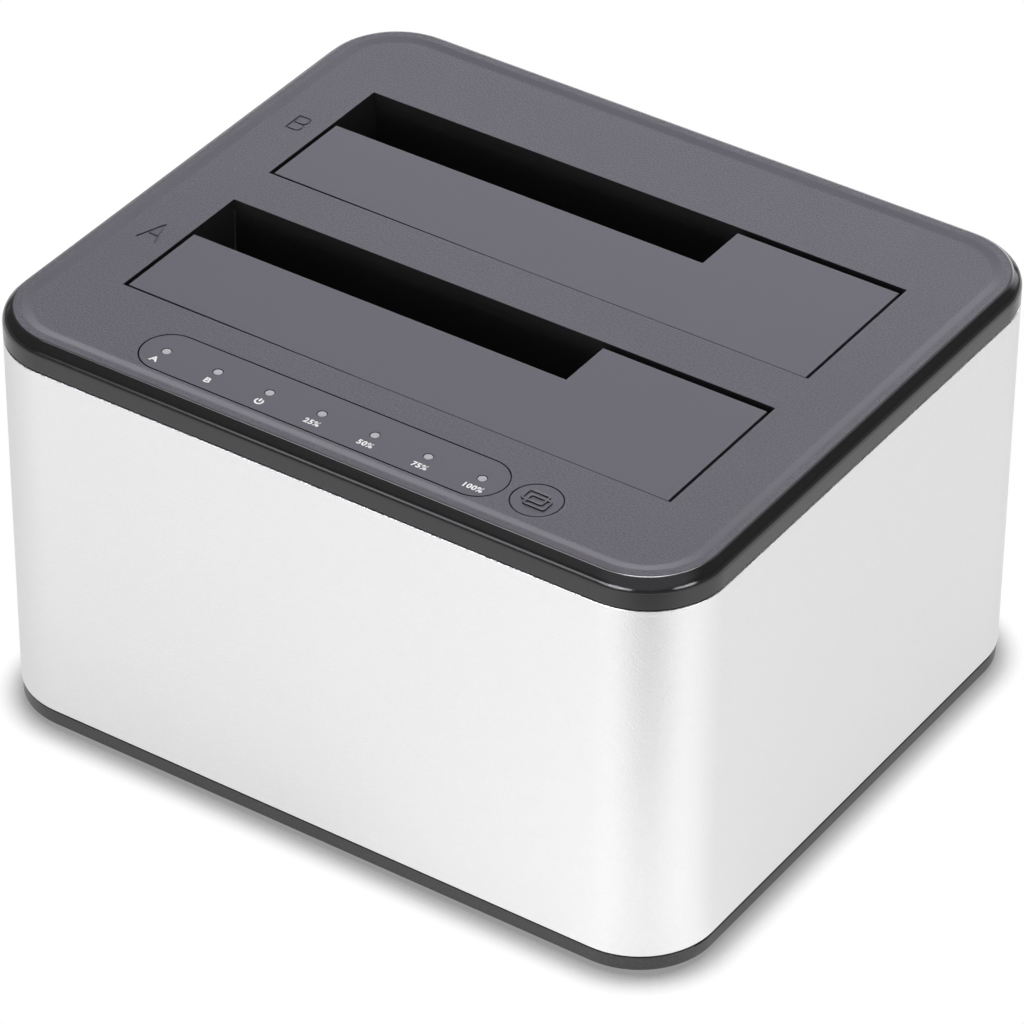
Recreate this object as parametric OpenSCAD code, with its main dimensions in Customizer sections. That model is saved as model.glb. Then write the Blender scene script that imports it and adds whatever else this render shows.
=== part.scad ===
// Two-bay docking station for bare 3.5 inch and 2.5 inch drives.
// Origin: centre of the footprint, on the surface that the feet stand on. +X right, +Y back, +Z up.

/* [Drive bays] */
// Length of a bay's mouth, along X, for a drive 101.6 wide
slot_l = 104; // [103:0.5:110]
// Width of a bay's mouth, along Y, for a drive 26.1 thick and the open flap
slot_w = 30; // [29:0.5:34]
// Land between the two mouths
bay_gap = 9.6; // [8:0.1:14]
// From the ends of the mouths to the outside of the housing
side_margin = 14.75; // [14:0.25:20]
// From the long edges of the mouths to the outside of the housing
end_margin = 21.7; // [21:0.1:28]
// Wall of the drive wells
well_t = 1.6; // [1.2:0.1:2]
// Thickness of the floor of the drive wells
well_floor_t = 1.6; // [1.2:0.1:2.4]
// Space between the main board and the floor of the wells
well_clear = 4.4; // [3.5:0.1:8]

/* [Housing] */
// Outside radius of the upright corners
corner_r = 14; // [13:0.5:18]
// Height of the metal sleeve
sleeve_h = 67.8; // [60:0.1:90]
// Wall of the metal sleeve
sleeve_t = 1.2; // [0.9:0.1:1.6]
// Small chamfer on the sleeve's ends
sleeve_edge = 0.15; // [0.1:0.05:0.5]
// Visible height of the base tray below the sleeve
base_h = 3.1; // [2.4:0.1:5]
// Height of the shadow line between base tray and sleeve
base_line = 0.35; // [0.2:0.05:0.6]
// Step of the base tray in from the sleeve
base_inset = 0.25; // [0.1:0.05:0.5]
// Thickness of the base tray's floor
base_floor_t = 2; // [1.6:0.1:2.4]
// Height of the base tray's wall inside the sleeve
base_lip_h = 5.5; // [4:0.1:6]
// Thickness of the walls that plug into the sleeve
lip_t = 1.6; // [1.2:0.1:2]
// Depth of the cover's wall inside the sleeve
cover_lip_h = 4; // [2:0.1:8]
// Gap between parts that plug into each other
fit_gap = 0.2; // [0.1:0.05:0.3]

/* [Top cover] */
// Height of the cover's upright band
band_h = 3.8; // [3.5:0.1:6]
// Height of the sloping edge above the band
edge_h = 1.5; // [1:0.1:2.5]
// Run of the sloping edge
edge_in = 1.6; // [1:0.1:2.2]
// Width of the flat rim
rim_w = 1.7; // [1.2:0.1:2.4]
// Width of the slope from the rim down to the panel
dish_w = 1.6; // [1:0.1:2.2]
// Depth of the panel below the rim
dish_d = 0.2; // [0.1:0.05:0.5]
// Thickness of the panel
panel_t = 2; // [1.8:0.1:2.4]
// Height of the shadow line between cover and sleeve
shadow_h = 0.25; // [0.1:0.05:0.5]
// Depth of the shadow line
shadow_d = 0.5; // [0.2:0.1:0.8]
// Diameter of the corner posts that take the base screws
post_d = 7; // [6:0.5:9]
// From the housing's sides to the corner posts
post_inset = 11; // [10:0.25:13]

/* [Flaps] */
// Thickness of a flap's plate
flap_t = 1.6; // [1.2:0.1:2]
// Gap between a flap and the front of its mouth
flap_gap = 0.15; // [0.1:0.05:0.5]
// Gap at each end of a flap
flap_end_gap = 0.55; // [0.2:0.05:0.8]
// Gap between a flap's tongue and the back of the mouth
tongue_gap = 1.5; // [1:0.1:2.5]
// Width of the mouth that stays open for a thin drive 69.85 wide
thin_l = 73; // [71:0.5:76]
// Depth of the mouth that stays open for a thin drive
thin_w = 12; // [10:0.5:14]
// Depth of the ribs under a flap
flap_rib_h = 0.6; // [0.4:0.1:1]
// Width of the ribs under a flap
flap_rib_w = 1; // [0.8:0.1:1.6]
// Diameter of the hinge pins
pin_d = 1.5; // [1.2:0.1:2]
// Radial clearance of a flap on its pin
pin_clear = 0.05; // [0.02:0.01:0.08]
// Wall of the hinge barrels
barrel_t = 0.65; // [0.5:0.05:1]
// Wire of the flap springs
spring_wire = 0.45; // [0.3:0.05:0.5]
// Turns of a flap spring
spring_turns = 5; // [3:1:7]

/* [Letters] */
// Height of the letters beside the mouths
letter_h = 5; // [3:0.1:7]
// Width of the grooves that draw the letters
letter_line = 0.4; // [0.2:0.05:0.6]
// Depth of the letters
letter_depth = 0.25; // [0.1:0.05:0.5]

/* [Indicators and button] */
// Number of indicator lights
led_count = 7; // [3:1:7]
// Spacing of the lights and of the button
led_pitch = 10; // [9:0.1:11]
// Diameter of a light
led_d = 1.5; // [1:0.1:2]
// From the row of lights to the front of the housing
row_inset = 10.6; // [10.3:0.1:12]
// Width of the round-ended light panel
pill_w = 10; // [8:0.1:10.2]
// Length of the light panel past the outer lights
pill_end = 4.25; // [3:0.05:4.6]
// Thickness of the light panel
pill_t = 1.2; // [0.8:0.1:1.3]
// Diameter of the copy button
button_d = 8.3; // [7:0.1:9]
// Travel of the copy button
button_travel = 0.8; // [0.4:0.1:1]
// Depth of the small board under the panel
led_board_drop = 7; // [6.5:0.1:10]
// Thickness of the small board
led_board_t = 1.2; // [0.8:0.1:1.6]

/* [Electronics] */
// Thickness of the main board
board_t = 1.6; // [1:0.1:2]
// Height of the main board over the base tray's floor
board_rise = 5.2; // [4.2:0.1:7]
// From the ends of the main board to the ends of the wells
board_inset = 2; // [1:0.5:6]
// Length of a drive connector
sata_l = 42; // [40:0.5:44]
// Width of a drive connector
sata_w = 6; // [5:0.1:6.5]
// Height of a drive connector over the well's floor
sata_rise = 6.4; // [5:0.1:8]
// From the left end of a mouth to the drive connector
sata_from_end = 2.5; // [2:0.5:8]
// From the back of a mouth to the middle of the drive connector
sata_from_back = 4.5; // [4.1:0.1:5]

/* [Rear ports] */
// Width of the port window in the sleeve
port_w = 76; // [70:1:84]
// Height of the port window
port_h = 19.5; // [18:0.5:24]
// Depth of the port panel behind the sleeve's face
port_recess = 2.6; // [2.2:0.1:3.5]
// Thickness of the port panel
port_t = 2; // [1.6:0.1:2.6]
// Border of the port panel round the window
port_border = 2; // [1.5:0.1:3]
// Bore of the power inlet
dc_bore_d = 6.4; // [5.8:0.1:7]
// Centre pin of the power inlet
dc_pin_d = 2; // [1.6:0.1:2.5]
// Angle between the two positions of the power rocker
rocker_throw = 16; // [8:1:16]

/* [Feet and screws] */
// Height of the feet below the base tray
foot_drop = 1.2; // [0.5:0.1:2]
// Diameter of a foot
foot_d = 12; // [8:0.5:14]
// Depth of a foot's seat in the base tray
foot_seat = 1; // [0.6:0.1:1.2]
// Diameter of the base screws
screw_d = 3; // [2.5:0.1:3.2]

/* [Hidden] */
$fn = 64;

// Footprint
bay_pitch = slot_w + bay_gap;
body_w = slot_l + 2 * side_margin;
body_d = bay_pitch + slot_w + 2 * end_margin;
bay_a_y = -bay_pitch / 2;
bay_b_y = bay_pitch / 2;

// Levels
base_z = foot_drop;
floor_z = base_z + base_floor_t;
sleeve_z = base_z + base_h;
base_lip_z = sleeve_z + base_lip_h;
cover_z = sleeve_z + sleeve_h;
rim_z = cover_z + band_h + edge_h;
panel_z = rim_z - dish_d;
panel_under = panel_z - panel_t;
board_z = floor_z + board_rise;
board_top = board_z + board_t;
well_z = board_top + well_clear;
well_floor_z = well_z + well_floor_t;
led_board_top = panel_under - led_board_drop;
led_board_z = led_board_top - led_board_t;

// How far parts of one solid reach into each other
weld = 0.4;

// Walls that plug into the sleeve, measured in from the outside
plug_in = sleeve_t + fit_gap;
lip_in = plug_in + lip_t;
base_ledge = 1;
panel_in = edge_in + rim_w + dish_w;
panel_w = body_w - 2 * panel_in;
panel_d = body_d - 2 * panel_in;
panel_r = corner_r - panel_in;

// Post and screw sizes
post_x = body_w / 2 - post_inset;
post_y = body_d / 2 - post_inset;
post_boss_h = 2.2;
post_boss_d = post_d + 3;
post_z = floor_z + post_boss_h;
screw_head_d = 2 * screw_d - 0.4;
screw_head_h = 0.7 * screw_d;
screw_l = 11;
screw_play = 0.1;
head_play = 0.8;
small_screw_d = 2;
small_screw_l = 5;
small_head_d = 3.8;
small_head_h = 1.2;
board_screw_d = 2.5;
board_screw_l = 5;
board_head_d = 4.8;
board_head_h = 1.6;
head_sink = 0.3;
base_seat_z = base_z + head_sink + screw_head_h;
foot_from_post = 1.5;
foot_x = post_x - post_boss_d / 2 - foot_from_post - foot_d / 2;
foot_y = post_y;

// Hinge line of a flap, from the front of its mouth and down from the panel
barrel_r = pin_d / 2 + pin_clear + barrel_t;
hinge_clear = 0.3;
hinge_drop = panel_t + hinge_clear + barrel_r;
flap_open_t = 3.4;
hinge_y = flap_open_t - hinge_drop;
hinge_z = panel_z - hinge_drop;
neck_t = 1.6;
flap_l = slot_l - 2 * flap_end_gap;
strip_d = slot_w - thin_w;
tongue_d = slot_w - tongue_gap;
tongue_x = -slot_l / 2 + thin_l;
pin_seat = 0.02;
pin_l = slot_l + 2 * well_t - 2 * fit_gap;
well_front_clear = 0.5;
well_front_z = hinge_z - max(barrel_r, flap_gap + neck_t - hinge_y) - well_front_clear;
spring_r = pin_d / 2 + spring_wire;
spring_pitch = 2 * spring_wire + 0.1;
spring_l = spring_turns * spring_pitch;
spring_cut_l = spring_l + 3 * spring_wire + 0.8;
spring_cut_x = -flap_l / 2 + 1;
spring_x = spring_cut_x + 2 * spring_wire;

// Letters beside the mouths: distance from the mouth and shares of their height
letter_from_mouth = 4.7;
letter_x = -slot_l / 2 - letter_from_mouth;
letter_foot = 0.36 * letter_h;
letter_bar = [0.24 * letter_h, -0.17 * letter_h];
letter_stem = -0.28 * letter_h;
letter_bowl_x = 0.08 * letter_h;

// Row of lights and the button
row_y = -body_d / 2 + row_inset;
row_x0 = -led_count * led_pitch / 2;
function led_x(i) = row_x0 + i * led_pitch;
button_x = led_x(led_count);
pill_x = (led_x(0) + led_x(led_count - 1)) / 2;
pill_l = (led_count - 1) * led_pitch + 2 * pill_end;
pill_gap = 0.12;
button_gap = 0.15;
button_hole_d = button_d + 2 * button_gap;
flange_d = button_hole_d + 1.8;
flange_t = 1;
flange_z = panel_under - fit_gap - flange_t;
stem_d = 3.4;
tact_w = 6;
tact_h = 3.4;
tact_lid_t = 0.4;
collar_t = 0.5;
collar_play = 0.2;
travel_spare = 0.4;
plunger_top = flange_z - 0.6;
led_hole_d = led_d + 0.1;
pipe_leg_d = led_d + 0.9;
pipe_bar_w = 3;
pipe_bar_t = 1.5;
led_body = [1.6, 0.8, 0.7];
led_boss_x = (button_x + flange_d / 2 + post_x - post_d / 2) / 2;
led_boss_d = 5;
led_board_w = 2 * led_boss_x + led_boss_d + 1;
led_board_d = 10.5;

// Wells and their ears
well_ear_x = (slot_l / 2 + well_t + body_w / 2 - lip_in) / 2;
well_ear_d = 7;
well_boss_d = 6;
well_ear_t = 2;
well_boss_h = 4;
well_ear_z = panel_under - well_boss_h - well_ear_t;

// Main board
board_w = slot_l - 2 * board_inset;
port_face_y = body_d / 2 - port_recess;
port_inner_y = port_face_y - port_t;
board_back_gap = 0.3;
board_front_gap = 4;
board_back = port_inner_y - board_back_gap;
board_front = -body_d / 2 + lip_in + board_front_gap;
board_hole_inset = 5;
board_hole_x = board_w / 2 - board_hole_inset;
board_hole_y = [board_front + board_hole_inset, board_back - board_hole_inset];
standoff_d = 6;
sata_x = -slot_l / 2 + sata_from_end + sata_l / 2;
sata_gap = 0.4;
front_zone_y = (-bay_pitch / 2 - slot_w / 2 - well_t + board_front) / 2;
bridge_w = 12;
bridge_h = 1.2;
bridge_x = slot_l / 5;
memory_size = [5, 6, 1.5];
memory_reach = 14;
memory_y = 2;
can_r = 3.1;
can_h = 7.4;
can_x = [-32, -22, 32];
coil_w = 7;
coil_foot_h = 1.2;
coil_d = 6;
coil_h = 3.6;
coil_x = [12, 22];

// Rear ports
port_low_border = 1.5;
port_z = base_lip_z + port_low_border + port_h / 2;
port_r = 2;
port_gap = 0.4;
dc_from_end = 12;
dc_x = -port_w / 2 + dc_from_end;
dc_size = [9, 13, 11];
dc_axis_z = board_top + 6.4;
usb_from_dc = 22;
usb_x = dc_x + usb_from_dc;
usb_size = [12, 15.5, 12.4];
usb_wall = 0.9;
switch_from_end = 14;
switch_x = port_w / 2 - switch_from_end;
switch_bezel = [15, 1.2, 10.4];
switch_body = [13.2, 11, 8.8];
switch_wall = 0.8;
switch_z = port_z;
switch_face_y = port_face_y + switch_bezel[1];
rocker_axis_y = switch_face_y - 3.5;
rocker_pin_d = 2;
lead_d = 1.4;

cover_colour = "#47474B";
panel_colour = "#3A3A3D";
metal_colour = "#D6D5D8";
base_colour = "#55534F";
board_colour = "#1F6B45";
steel_colour = "#B8BCC0";

// Flat shapes

// Rectangle with round corners, centred
module rounded(w, d, r) {
    square([w - 2 * r, d], center = true);
    square([w, d - 2 * r], center = true);
    for (sx = [-1, 1], sy = [-1, 1])
        translate([sx * (w / 2 - r), sy * (d / 2 - r)]) circle(r);
}

// Bar with round ends, centred, along X
module stadium(l, w) {
    square([l - w, w], center = true);
    for (sx = [-1, 1]) translate([sx * (l - w) / 2, 0]) circle(d = w);
}

// Shared solids

// Profile carried round a rounded rectangle: x is the depth in from the outside, y the height
module edge_sweep(w, d, r) {
    for (sx = [0, 1], sy = [0, 1])
        mirror([sx, 0, 0]) mirror([0, sy, 0]) translate([w / 2 - r, d / 2 - r, 0])
            rotate_extrude(angle = 90) translate([r, 0]) mirror([1, 0]) children();
    for (sx = [0, 1])
        mirror([sx, 0, 0]) translate([w / 2, 0, 0])
            rotate([90, 0, 0]) linear_extrude(d - 2 * r, center = true) mirror([1, 0]) children();
    for (sy = [0, 1])
        mirror([0, sy, 0]) translate([0, d / 2, 0])
            rotate([90, 0, 90]) linear_extrude(w - 2 * r, center = true) mirror([1, 0]) children();
}

// Block centred in X and Y that stands on z = 0
module block(size) {
    translate([-size[0] / 2, -size[1] / 2, 0]) cube(size);
}

// One copy at each corner of a rectangle round the origin
module at_corners(x, y) {
    for (sx = [-1, 1], sy = [-1, 1]) translate([sx * x, sy * y, 0]) children();
}

// Pan-head screw: the head's seat is at z = 0, the shank goes up
module screw(d, l, head_d, head_h) {
    difference() {
        translate([0, 0, -head_h]) cylinder(d = head_d, h = head_h);
        for (a = [0, 90]) rotate(a) translate([0, 0, -head_h])
            cube([head_d * 0.55, head_d * 0.14, head_h], center = true);
    }
    cylinder(d = d, h = l);
}

// Housing

module sleeve() {
    color(metal_colour) difference() {
        translate([0, 0, sleeve_z]) edge_sweep(body_w, body_d, corner_r)
            polygon([
                [0, sleeve_edge], [0, sleeve_h - sleeve_edge], [sleeve_edge, sleeve_h],
                [sleeve_t, sleeve_h], [sleeve_t, 0], [sleeve_edge, 0]
            ]);
        translate([0, body_d / 2, port_z]) rotate([90, 0, 0])
            linear_extrude(4 * sleeve_t, center = true) rounded(port_w, port_h, port_r);
    }
}

// Section through the cover's edge, from the shadow line over the rim to the panel and the plug wall
module cover_section() {
    rim_h = band_h + edge_h;
    under_h = rim_h - dish_d - panel_t;
    polygon([
        [0, shadow_h], [0, band_h], [edge_in, rim_h], [edge_in + rim_w, rim_h],
        [panel_in, rim_h - dish_d], [panel_in, under_h], [lip_in, under_h],
        [lip_in, -cover_lip_h], [plug_in, -cover_lip_h], [plug_in, 0],
        [shadow_d, 0], [shadow_d, shadow_h]
    ]);
}

// Panel with the two mouths and the button's hole
module panel_outline() {
    difference() {
        rounded(panel_w + 2 * weld, panel_d + 2 * weld, panel_r + weld);
        for (y = [bay_a_y, bay_b_y]) translate([0, y]) square([slot_l, slot_w], center = true);
        translate([button_x, row_y]) circle(d = button_hole_d);
    }
}

// Flat bar with round ends that draws one stroke of a letter
module groove(from, to) {
    run = to - from;
    translate((from + to) / 2) rotate(atan2(run[1], run[0]))
        stadium(norm(run) + letter_line, letter_line);
}

module letter_a() {
    for (sx = [-1, 1]) groove([sx * letter_foot, -letter_h / 2], [0, letter_h / 2]);
    groove([-letter_bar[0], letter_bar[1]], letter_bar);
}

module letter_b() {
    groove([letter_stem, -letter_h / 2], [letter_stem, letter_h / 2]);
    for (y = [-1, 0, 1]) groove([letter_stem, y * letter_h / 2], [letter_bowl_x, y * letter_h / 2]);
    for (sy = [-1, 1]) translate([letter_bowl_x, sy * letter_h / 4]) difference() {
        circle(d = letter_h / 2 + letter_line);
        circle(d = letter_h / 2 - letter_line);
        translate([-letter_h, -letter_h / 2]) square([letter_h, letter_h]);
    }
}

module top_cover() {
    pilot_l = 12;
    color(cover_colour) difference() {
        union() {
            translate([0, 0, cover_z]) edge_sweep(body_w, body_d, corner_r) cover_section();
            translate([0, 0, panel_under]) linear_extrude(panel_t) panel_outline();
            at_corners(post_x, post_y)
                translate([0, 0, post_z]) cylinder(d = post_d, h = panel_under - post_z + weld);
            at_corners(well_ear_x, bay_pitch / 2)
                translate([0, 0, panel_under - well_boss_h])
                    cylinder(d = well_boss_d, h = well_boss_h + weld);
            for (sx = [-1, 1])
                translate([sx * led_boss_x, row_y, led_board_top])
                    cylinder(d = led_boss_d, h = panel_under - led_board_top + weld);
        }
        translate([pill_x, row_y, panel_z - pill_t])
            linear_extrude(2 * pill_t) stadium(pill_l + 2 * pill_gap, pill_w + 2 * pill_gap);
        translate([letter_x, 0, panel_z - letter_depth]) linear_extrude(2 * letter_depth) {
            translate([0, bay_a_y]) letter_a();
            translate([0, bay_b_y]) letter_b();
        }
        for (i = [0:led_count - 1])
            translate([led_x(i), row_y, panel_under - 1]) cylinder(d = pipe_leg_d + 0.4, h = panel_t);
        at_corners(post_x, post_y)
            translate([0, 0, post_z - 1]) cylinder(d = screw_d + screw_play, h = pilot_l + 1);
        at_corners(well_ear_x, bay_pitch / 2)
            translate([0, 0, panel_under - well_boss_h - 1])
                cylinder(d = small_screw_d + screw_play, h = well_boss_h + 0.8);
        for (sx = [-1, 1])
            translate([sx * led_boss_x, row_y, led_board_top - 1])
                cylinder(d = small_screw_d + screw_play, h = 5.5);
    }
}

// Section through the base tray's edge, from the floor to the wall inside the sleeve
module base_section() {
    bevel = 0.3;
    polygon([
        [base_inset + bevel, 0], [base_inset, bevel], [base_inset, base_h - base_line],
        [base_inset + shadow_d, base_h - base_line], [base_inset + shadow_d, base_h], [plug_in, base_h],
        [plug_in, base_h + base_lip_h], [lip_in, base_h + base_lip_h],
        [lip_in, base_floor_t], [lip_in + base_ledge, base_floor_t], [lip_in + base_ledge, 0]
    ]);
}

// Rows of slots that let air in under the board
module base_vents() {
    vent_l = 26;
    vent_w = 2.4;
    vent_pitch = 6;
    for (sx = [-1, 1], i = [-3:3])
        translate([sx * vent_l * 0.7, i * vent_pitch]) stadium(vent_l, vent_w);
}

module base_tray() {
    plate_in = lip_in + base_ledge - weld;
    color(base_colour) difference() {
        union() {
            translate([0, 0, base_z]) edge_sweep(body_w, body_d, corner_r) base_section();
            translate([0, 0, base_z]) linear_extrude(base_floor_t) difference() {
                rounded(body_w - 2 * plate_in, body_d - 2 * plate_in, corner_r - plate_in);
                base_vents();
            }
            at_corners(post_x, post_y)
                translate([0, 0, floor_z - weld])
                    cylinder(d = post_boss_d, h = post_boss_h + weld);
            for (sx = [-1, 1], y = board_hole_y)
                translate([sx * board_hole_x, y, floor_z - weld])
                    cylinder(d = standoff_d, h = board_rise + weld);
        }
        at_corners(post_x, post_y) {
            translate([0, 0, base_z - 1])
                cylinder(d = screw_head_d + head_play, h = base_seat_z - base_z + 1);
            translate([0, 0, base_z]) cylinder(d = screw_d + 4 * screw_play, h = post_z);
        }
        for (sx = [-1, 1], y = board_hole_y)
            translate([sx * board_hole_x, y, floor_z + 0.4])
                cylinder(d = board_screw_d + screw_play, h = board_rise);
        at_corners(foot_x, foot_y)
            translate([0, 0, base_z - 1]) cylinder(d = foot_d + 0.2, h = foot_seat + 1);
    }
}

module rubber_feet() {
    edge = 0.4;
    color("#242424") at_corners(foot_x, foot_y)
        rotate_extrude() polygon([
            [0, 0], [foot_d / 2 - edge, 0], [foot_d / 2, edge],
            [foot_d / 2, foot_drop + foot_seat], [0, foot_drop + foot_seat]
        ]);
}

module base_screws() {
    color(steel_colour) at_corners(post_x, post_y)
        translate([0, 0, base_seat_z]) screw(screw_d, screw_l, screw_head_d, screw_head_h);
}

// Drive bays

// Tub that guides one drive down to its connector; y0 is the middle of its mouth
module drive_well(y0) {
    outer = [slot_l + 2 * well_t, slot_w + 2 * well_t];
    ear_arm_l = well_ear_x - outer[0] / 2 + weld;
    pin_y = y0 - slot_w / 2 + hinge_y;
    color(panel_colour) difference() {
        union() {
            translate([0, y0, well_z]) block([outer[0], outer[1], panel_under - well_z]);
            for (sx = [-1, 1]) translate([sx * well_ear_x, y0, well_ear_z]) {
                cylinder(d = well_ear_d, h = well_ear_t);
                translate([-sx * ear_arm_l / 2, 0, 0]) block([ear_arm_l, well_ear_d, well_ear_t]);
            }
        }
        translate([0, y0, well_floor_z]) block([slot_l, slot_w, panel_under]);
        translate([0, y0 - slot_w / 2 - well_t / 2, well_front_z]) block([slot_l, 2 * well_t, panel_under]);
        translate([sata_x, y0 + slot_w / 2 - sata_from_back, well_z - 1])
            block([sata_l + 2 * sata_gap, sata_w + 2 * sata_gap, well_floor_t + 2]);
        translate([-outer[0] / 2 - 1, pin_y, hinge_z]) rotate([0, 90, 0])
            cylinder(d = pin_d + 2 * pin_seat, h = outer[0] + 2);
        for (sx = [-1, 1]) translate([sx * well_ear_x, y0, well_ear_z - 1])
            cylinder(d = small_screw_d + 4 * screw_play, h = well_ear_t + 2);
    }
}

module well_screws() {
    color(steel_colour) at_corners(well_ear_x, bay_pitch / 2)
        translate([0, 0, well_ear_z]) screw(small_screw_d, small_screw_l, small_head_d, small_head_h);
}

// Flat outline of a flap: a strip along the hinge and a tongue at the right
module flap_outline() {
    translate([-flap_l / 2, flap_gap]) square([flap_l, strip_d - flap_gap]);
    translate([tongue_x, flap_gap]) square([flap_l / 2 - tongue_x, tongue_d - flap_gap]);
}

// Stiffening ribs under a flap
module flap_ribs() {
    rib_in = 1.2;
    rib_count = 7;
    rib_y0 = flap_gap + neck_t;
    translate([-flap_l / 2 + rib_in, strip_d - rib_in - flap_rib_w])
        square([tongue_x + flap_l / 2, flap_rib_w]);
    translate([tongue_x + rib_in, tongue_d - rib_in - flap_rib_w])
        square([flap_l / 2 - tongue_x - 2 * rib_in, flap_rib_w]);
    for (i = [0:rib_count - 1]) {
        x = -flap_l / 2 + rib_in + i * (flap_l - 2 * rib_in - flap_rib_w) / (rib_count - 1);
        depth = x > tongue_x ? tongue_d : strip_d;
        translate([x, rib_y0]) square([flap_rib_w, depth - rib_in - rib_y0]);
    }
}

// Flap in its closed place; y0 is the middle of its mouth
module flap(y0) {
    color(cover_colour) translate([0, y0 - slot_w / 2, panel_z]) difference() {
        union() {
            translate([0, 0, -flap_t]) linear_extrude(flap_t) flap_outline();
            translate([0, 0, -flap_t - flap_rib_h]) linear_extrude(flap_rib_h + weld) flap_ribs();
            translate([-flap_l / 2, flap_gap, -hinge_drop])
                cube([flap_l, neck_t, hinge_drop - flap_t / 2]);
            translate([-flap_l / 2, hinge_y, -hinge_drop]) rotate([0, 90, 0])
                cylinder(r = barrel_r, h = flap_l);
        }
        translate([-flap_l, hinge_y, -hinge_drop]) rotate([0, 90, 0])
            cylinder(d = pin_d + 2 * pin_clear, h = 2 * flap_l);
        translate([spring_cut_x, -2 * barrel_r, -hinge_drop - 2 * barrel_r])
            cube([spring_cut_l, 6 * barrel_r, 2 * barrel_r + spring_r + spring_wire]);
    }
}

module hinge_pin(y0) {
    color(steel_colour) translate([-pin_l / 2, y0 - slot_w / 2 + hinge_y, hinge_z])
        rotate([0, 90, 0]) cylinder(d = pin_d, h = pin_l);
}

// Torsion spring round a hinge pin: one leg under the flap, one down to the front wall
spring_steps = 14;
spring_sides = 8;
spring_leg_a = 6;
spring_leg_b = 2;
spring_sweep = 360 * spring_turns + 110;
spring_rings = ceil(spring_sweep / 360 * spring_steps);
function spring_phi(i) = 90 + spring_sweep * i / spring_rings;
function spring_mid(phi) = [
    spring_x + spring_l * (phi - 90) / spring_sweep, spring_r * cos(phi), spring_r * sin(phi)
];
function unit(v) = v / norm(v);
function spring_run(phi) = unit([
    spring_l / spring_sweep * 180 / PI, -spring_r * sin(phi), spring_r * cos(phi)
]);
function spring_ring(phi, shift) =
    let (run = spring_run(phi), out = [0, cos(phi), sin(phi)], side = cross(run, out))
    [for (k = [0:spring_sides - 1])
        spring_mid(phi) + shift * run
            + spring_wire / 2 * (cos(360 * k / spring_sides) * out + sin(360 * k / spring_sides) * side)];

module flap_spring(y0) {
    last_phi = spring_phi(spring_rings);
    rings = concat(
        [spring_ring(90, -spring_leg_a)],
        [for (i = [0:spring_rings]) spring_ring(spring_phi(i), 0)],
        [spring_ring(last_phi, spring_leg_b)]
    );
    count = len(rings);
    points = [for (ring = rings) each ring];
    walls = [for (i = [0:count - 2], k = [0:spring_sides - 1])
        let (a = i * spring_sides + k, b = i * spring_sides + (k + 1) % spring_sides)
        each [[a, a + spring_sides, b + spring_sides], [a, b + spring_sides, b]]];
    first_cap = [for (k = [1:spring_sides - 2]) [0, k, k + 1]];
    last_cap = [for (k = [1:spring_sides - 2])
        [for (v = [0, k + 1, k]) (count - 1) * spring_sides + v]];
    color(steel_colour) translate([0, y0 - slot_w / 2 + hinge_y, hinge_z])
        polyhedron(points, concat(walls, first_cap, last_cap));
}

// Indicators and button

module indicator_panel() {
    color(panel_colour) difference() {
        translate([pill_x, row_y, panel_z - pill_t]) linear_extrude(pill_t) stadium(pill_l, pill_w);
        for (i = [0:led_count - 1])
            translate([led_x(i), row_y, panel_z - 2 * pill_t]) cylinder(d = led_hole_d, h = 3 * pill_t);
    }
}

// Clear comb that carries the light of each lamp up to the panel
module light_pipe() {
    bar_l = (led_count - 1) * led_pitch + pipe_bar_w;
    leg_z = led_board_top + led_body[2] + 0.4;
    color("#E8E8EA") {
        translate([pill_x, row_y, panel_under - pipe_bar_t]) block([bar_l, pipe_bar_w, pipe_bar_t]);
        for (i = [0:led_count - 1]) translate([led_x(i), row_y, 0]) {
            translate([0, 0, panel_under - weld]) cylinder(d = led_d, h = panel_t + weld);
            translate([0, 0, leg_z]) cylinder(d = pipe_leg_d, h = panel_under - pipe_bar_t - leg_z + weld);
        }
    }
}

module led_board() {
    color(board_colour) difference() {
        translate([0, row_y, led_board_z]) block([led_board_w, led_board_d, led_board_t]);
        for (sx = [-1, 1]) translate([sx * led_boss_x, row_y, led_board_z - 1])
            cylinder(d = small_screw_d + 4 * screw_play, h = led_board_t + 2);
    }
}

module leds() {
    color("white") for (i = [0:led_count - 1])
        translate([led_x(i), row_y, led_board_top]) block(led_body);
}

module led_board_screws() {
    color(steel_colour) for (sx = [-1, 1])
        translate([sx * led_boss_x, row_y, led_board_z])
            screw(small_screw_d, small_screw_l, small_head_d, small_head_h);
}

// Round cap with a flange that holds it under the panel
module clone_button() {
    edge = 0.3;
    color(cover_colour) translate([button_x, row_y, 0]) rotate_extrude() polygon([
        [0, plunger_top], [stem_d / 2, plunger_top], [stem_d / 2, flange_z],
        [flange_d / 2, flange_z], [flange_d / 2, flange_z + flange_t],
        [button_d / 2, flange_z + flange_t], [button_d / 2, panel_z - edge],
        [button_d / 2 - edge, panel_z], [0, panel_z]
    ]);
}

// Plunger of the switch under the button; it travels with the button
module switch_plunger() {
    collar_d = stem_d + 1;
    collar_z = led_board_top + tact_h - tact_lid_t - collar_play - collar_t;
    color("#2E2E2E") translate([button_x, row_y, 0]) {
        translate([0, 0, collar_z]) cylinder(d = stem_d, h = plunger_top - collar_z);
        translate([0, 0, collar_z]) cylinder(d = collar_d, h = collar_t);
    }
}

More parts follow.
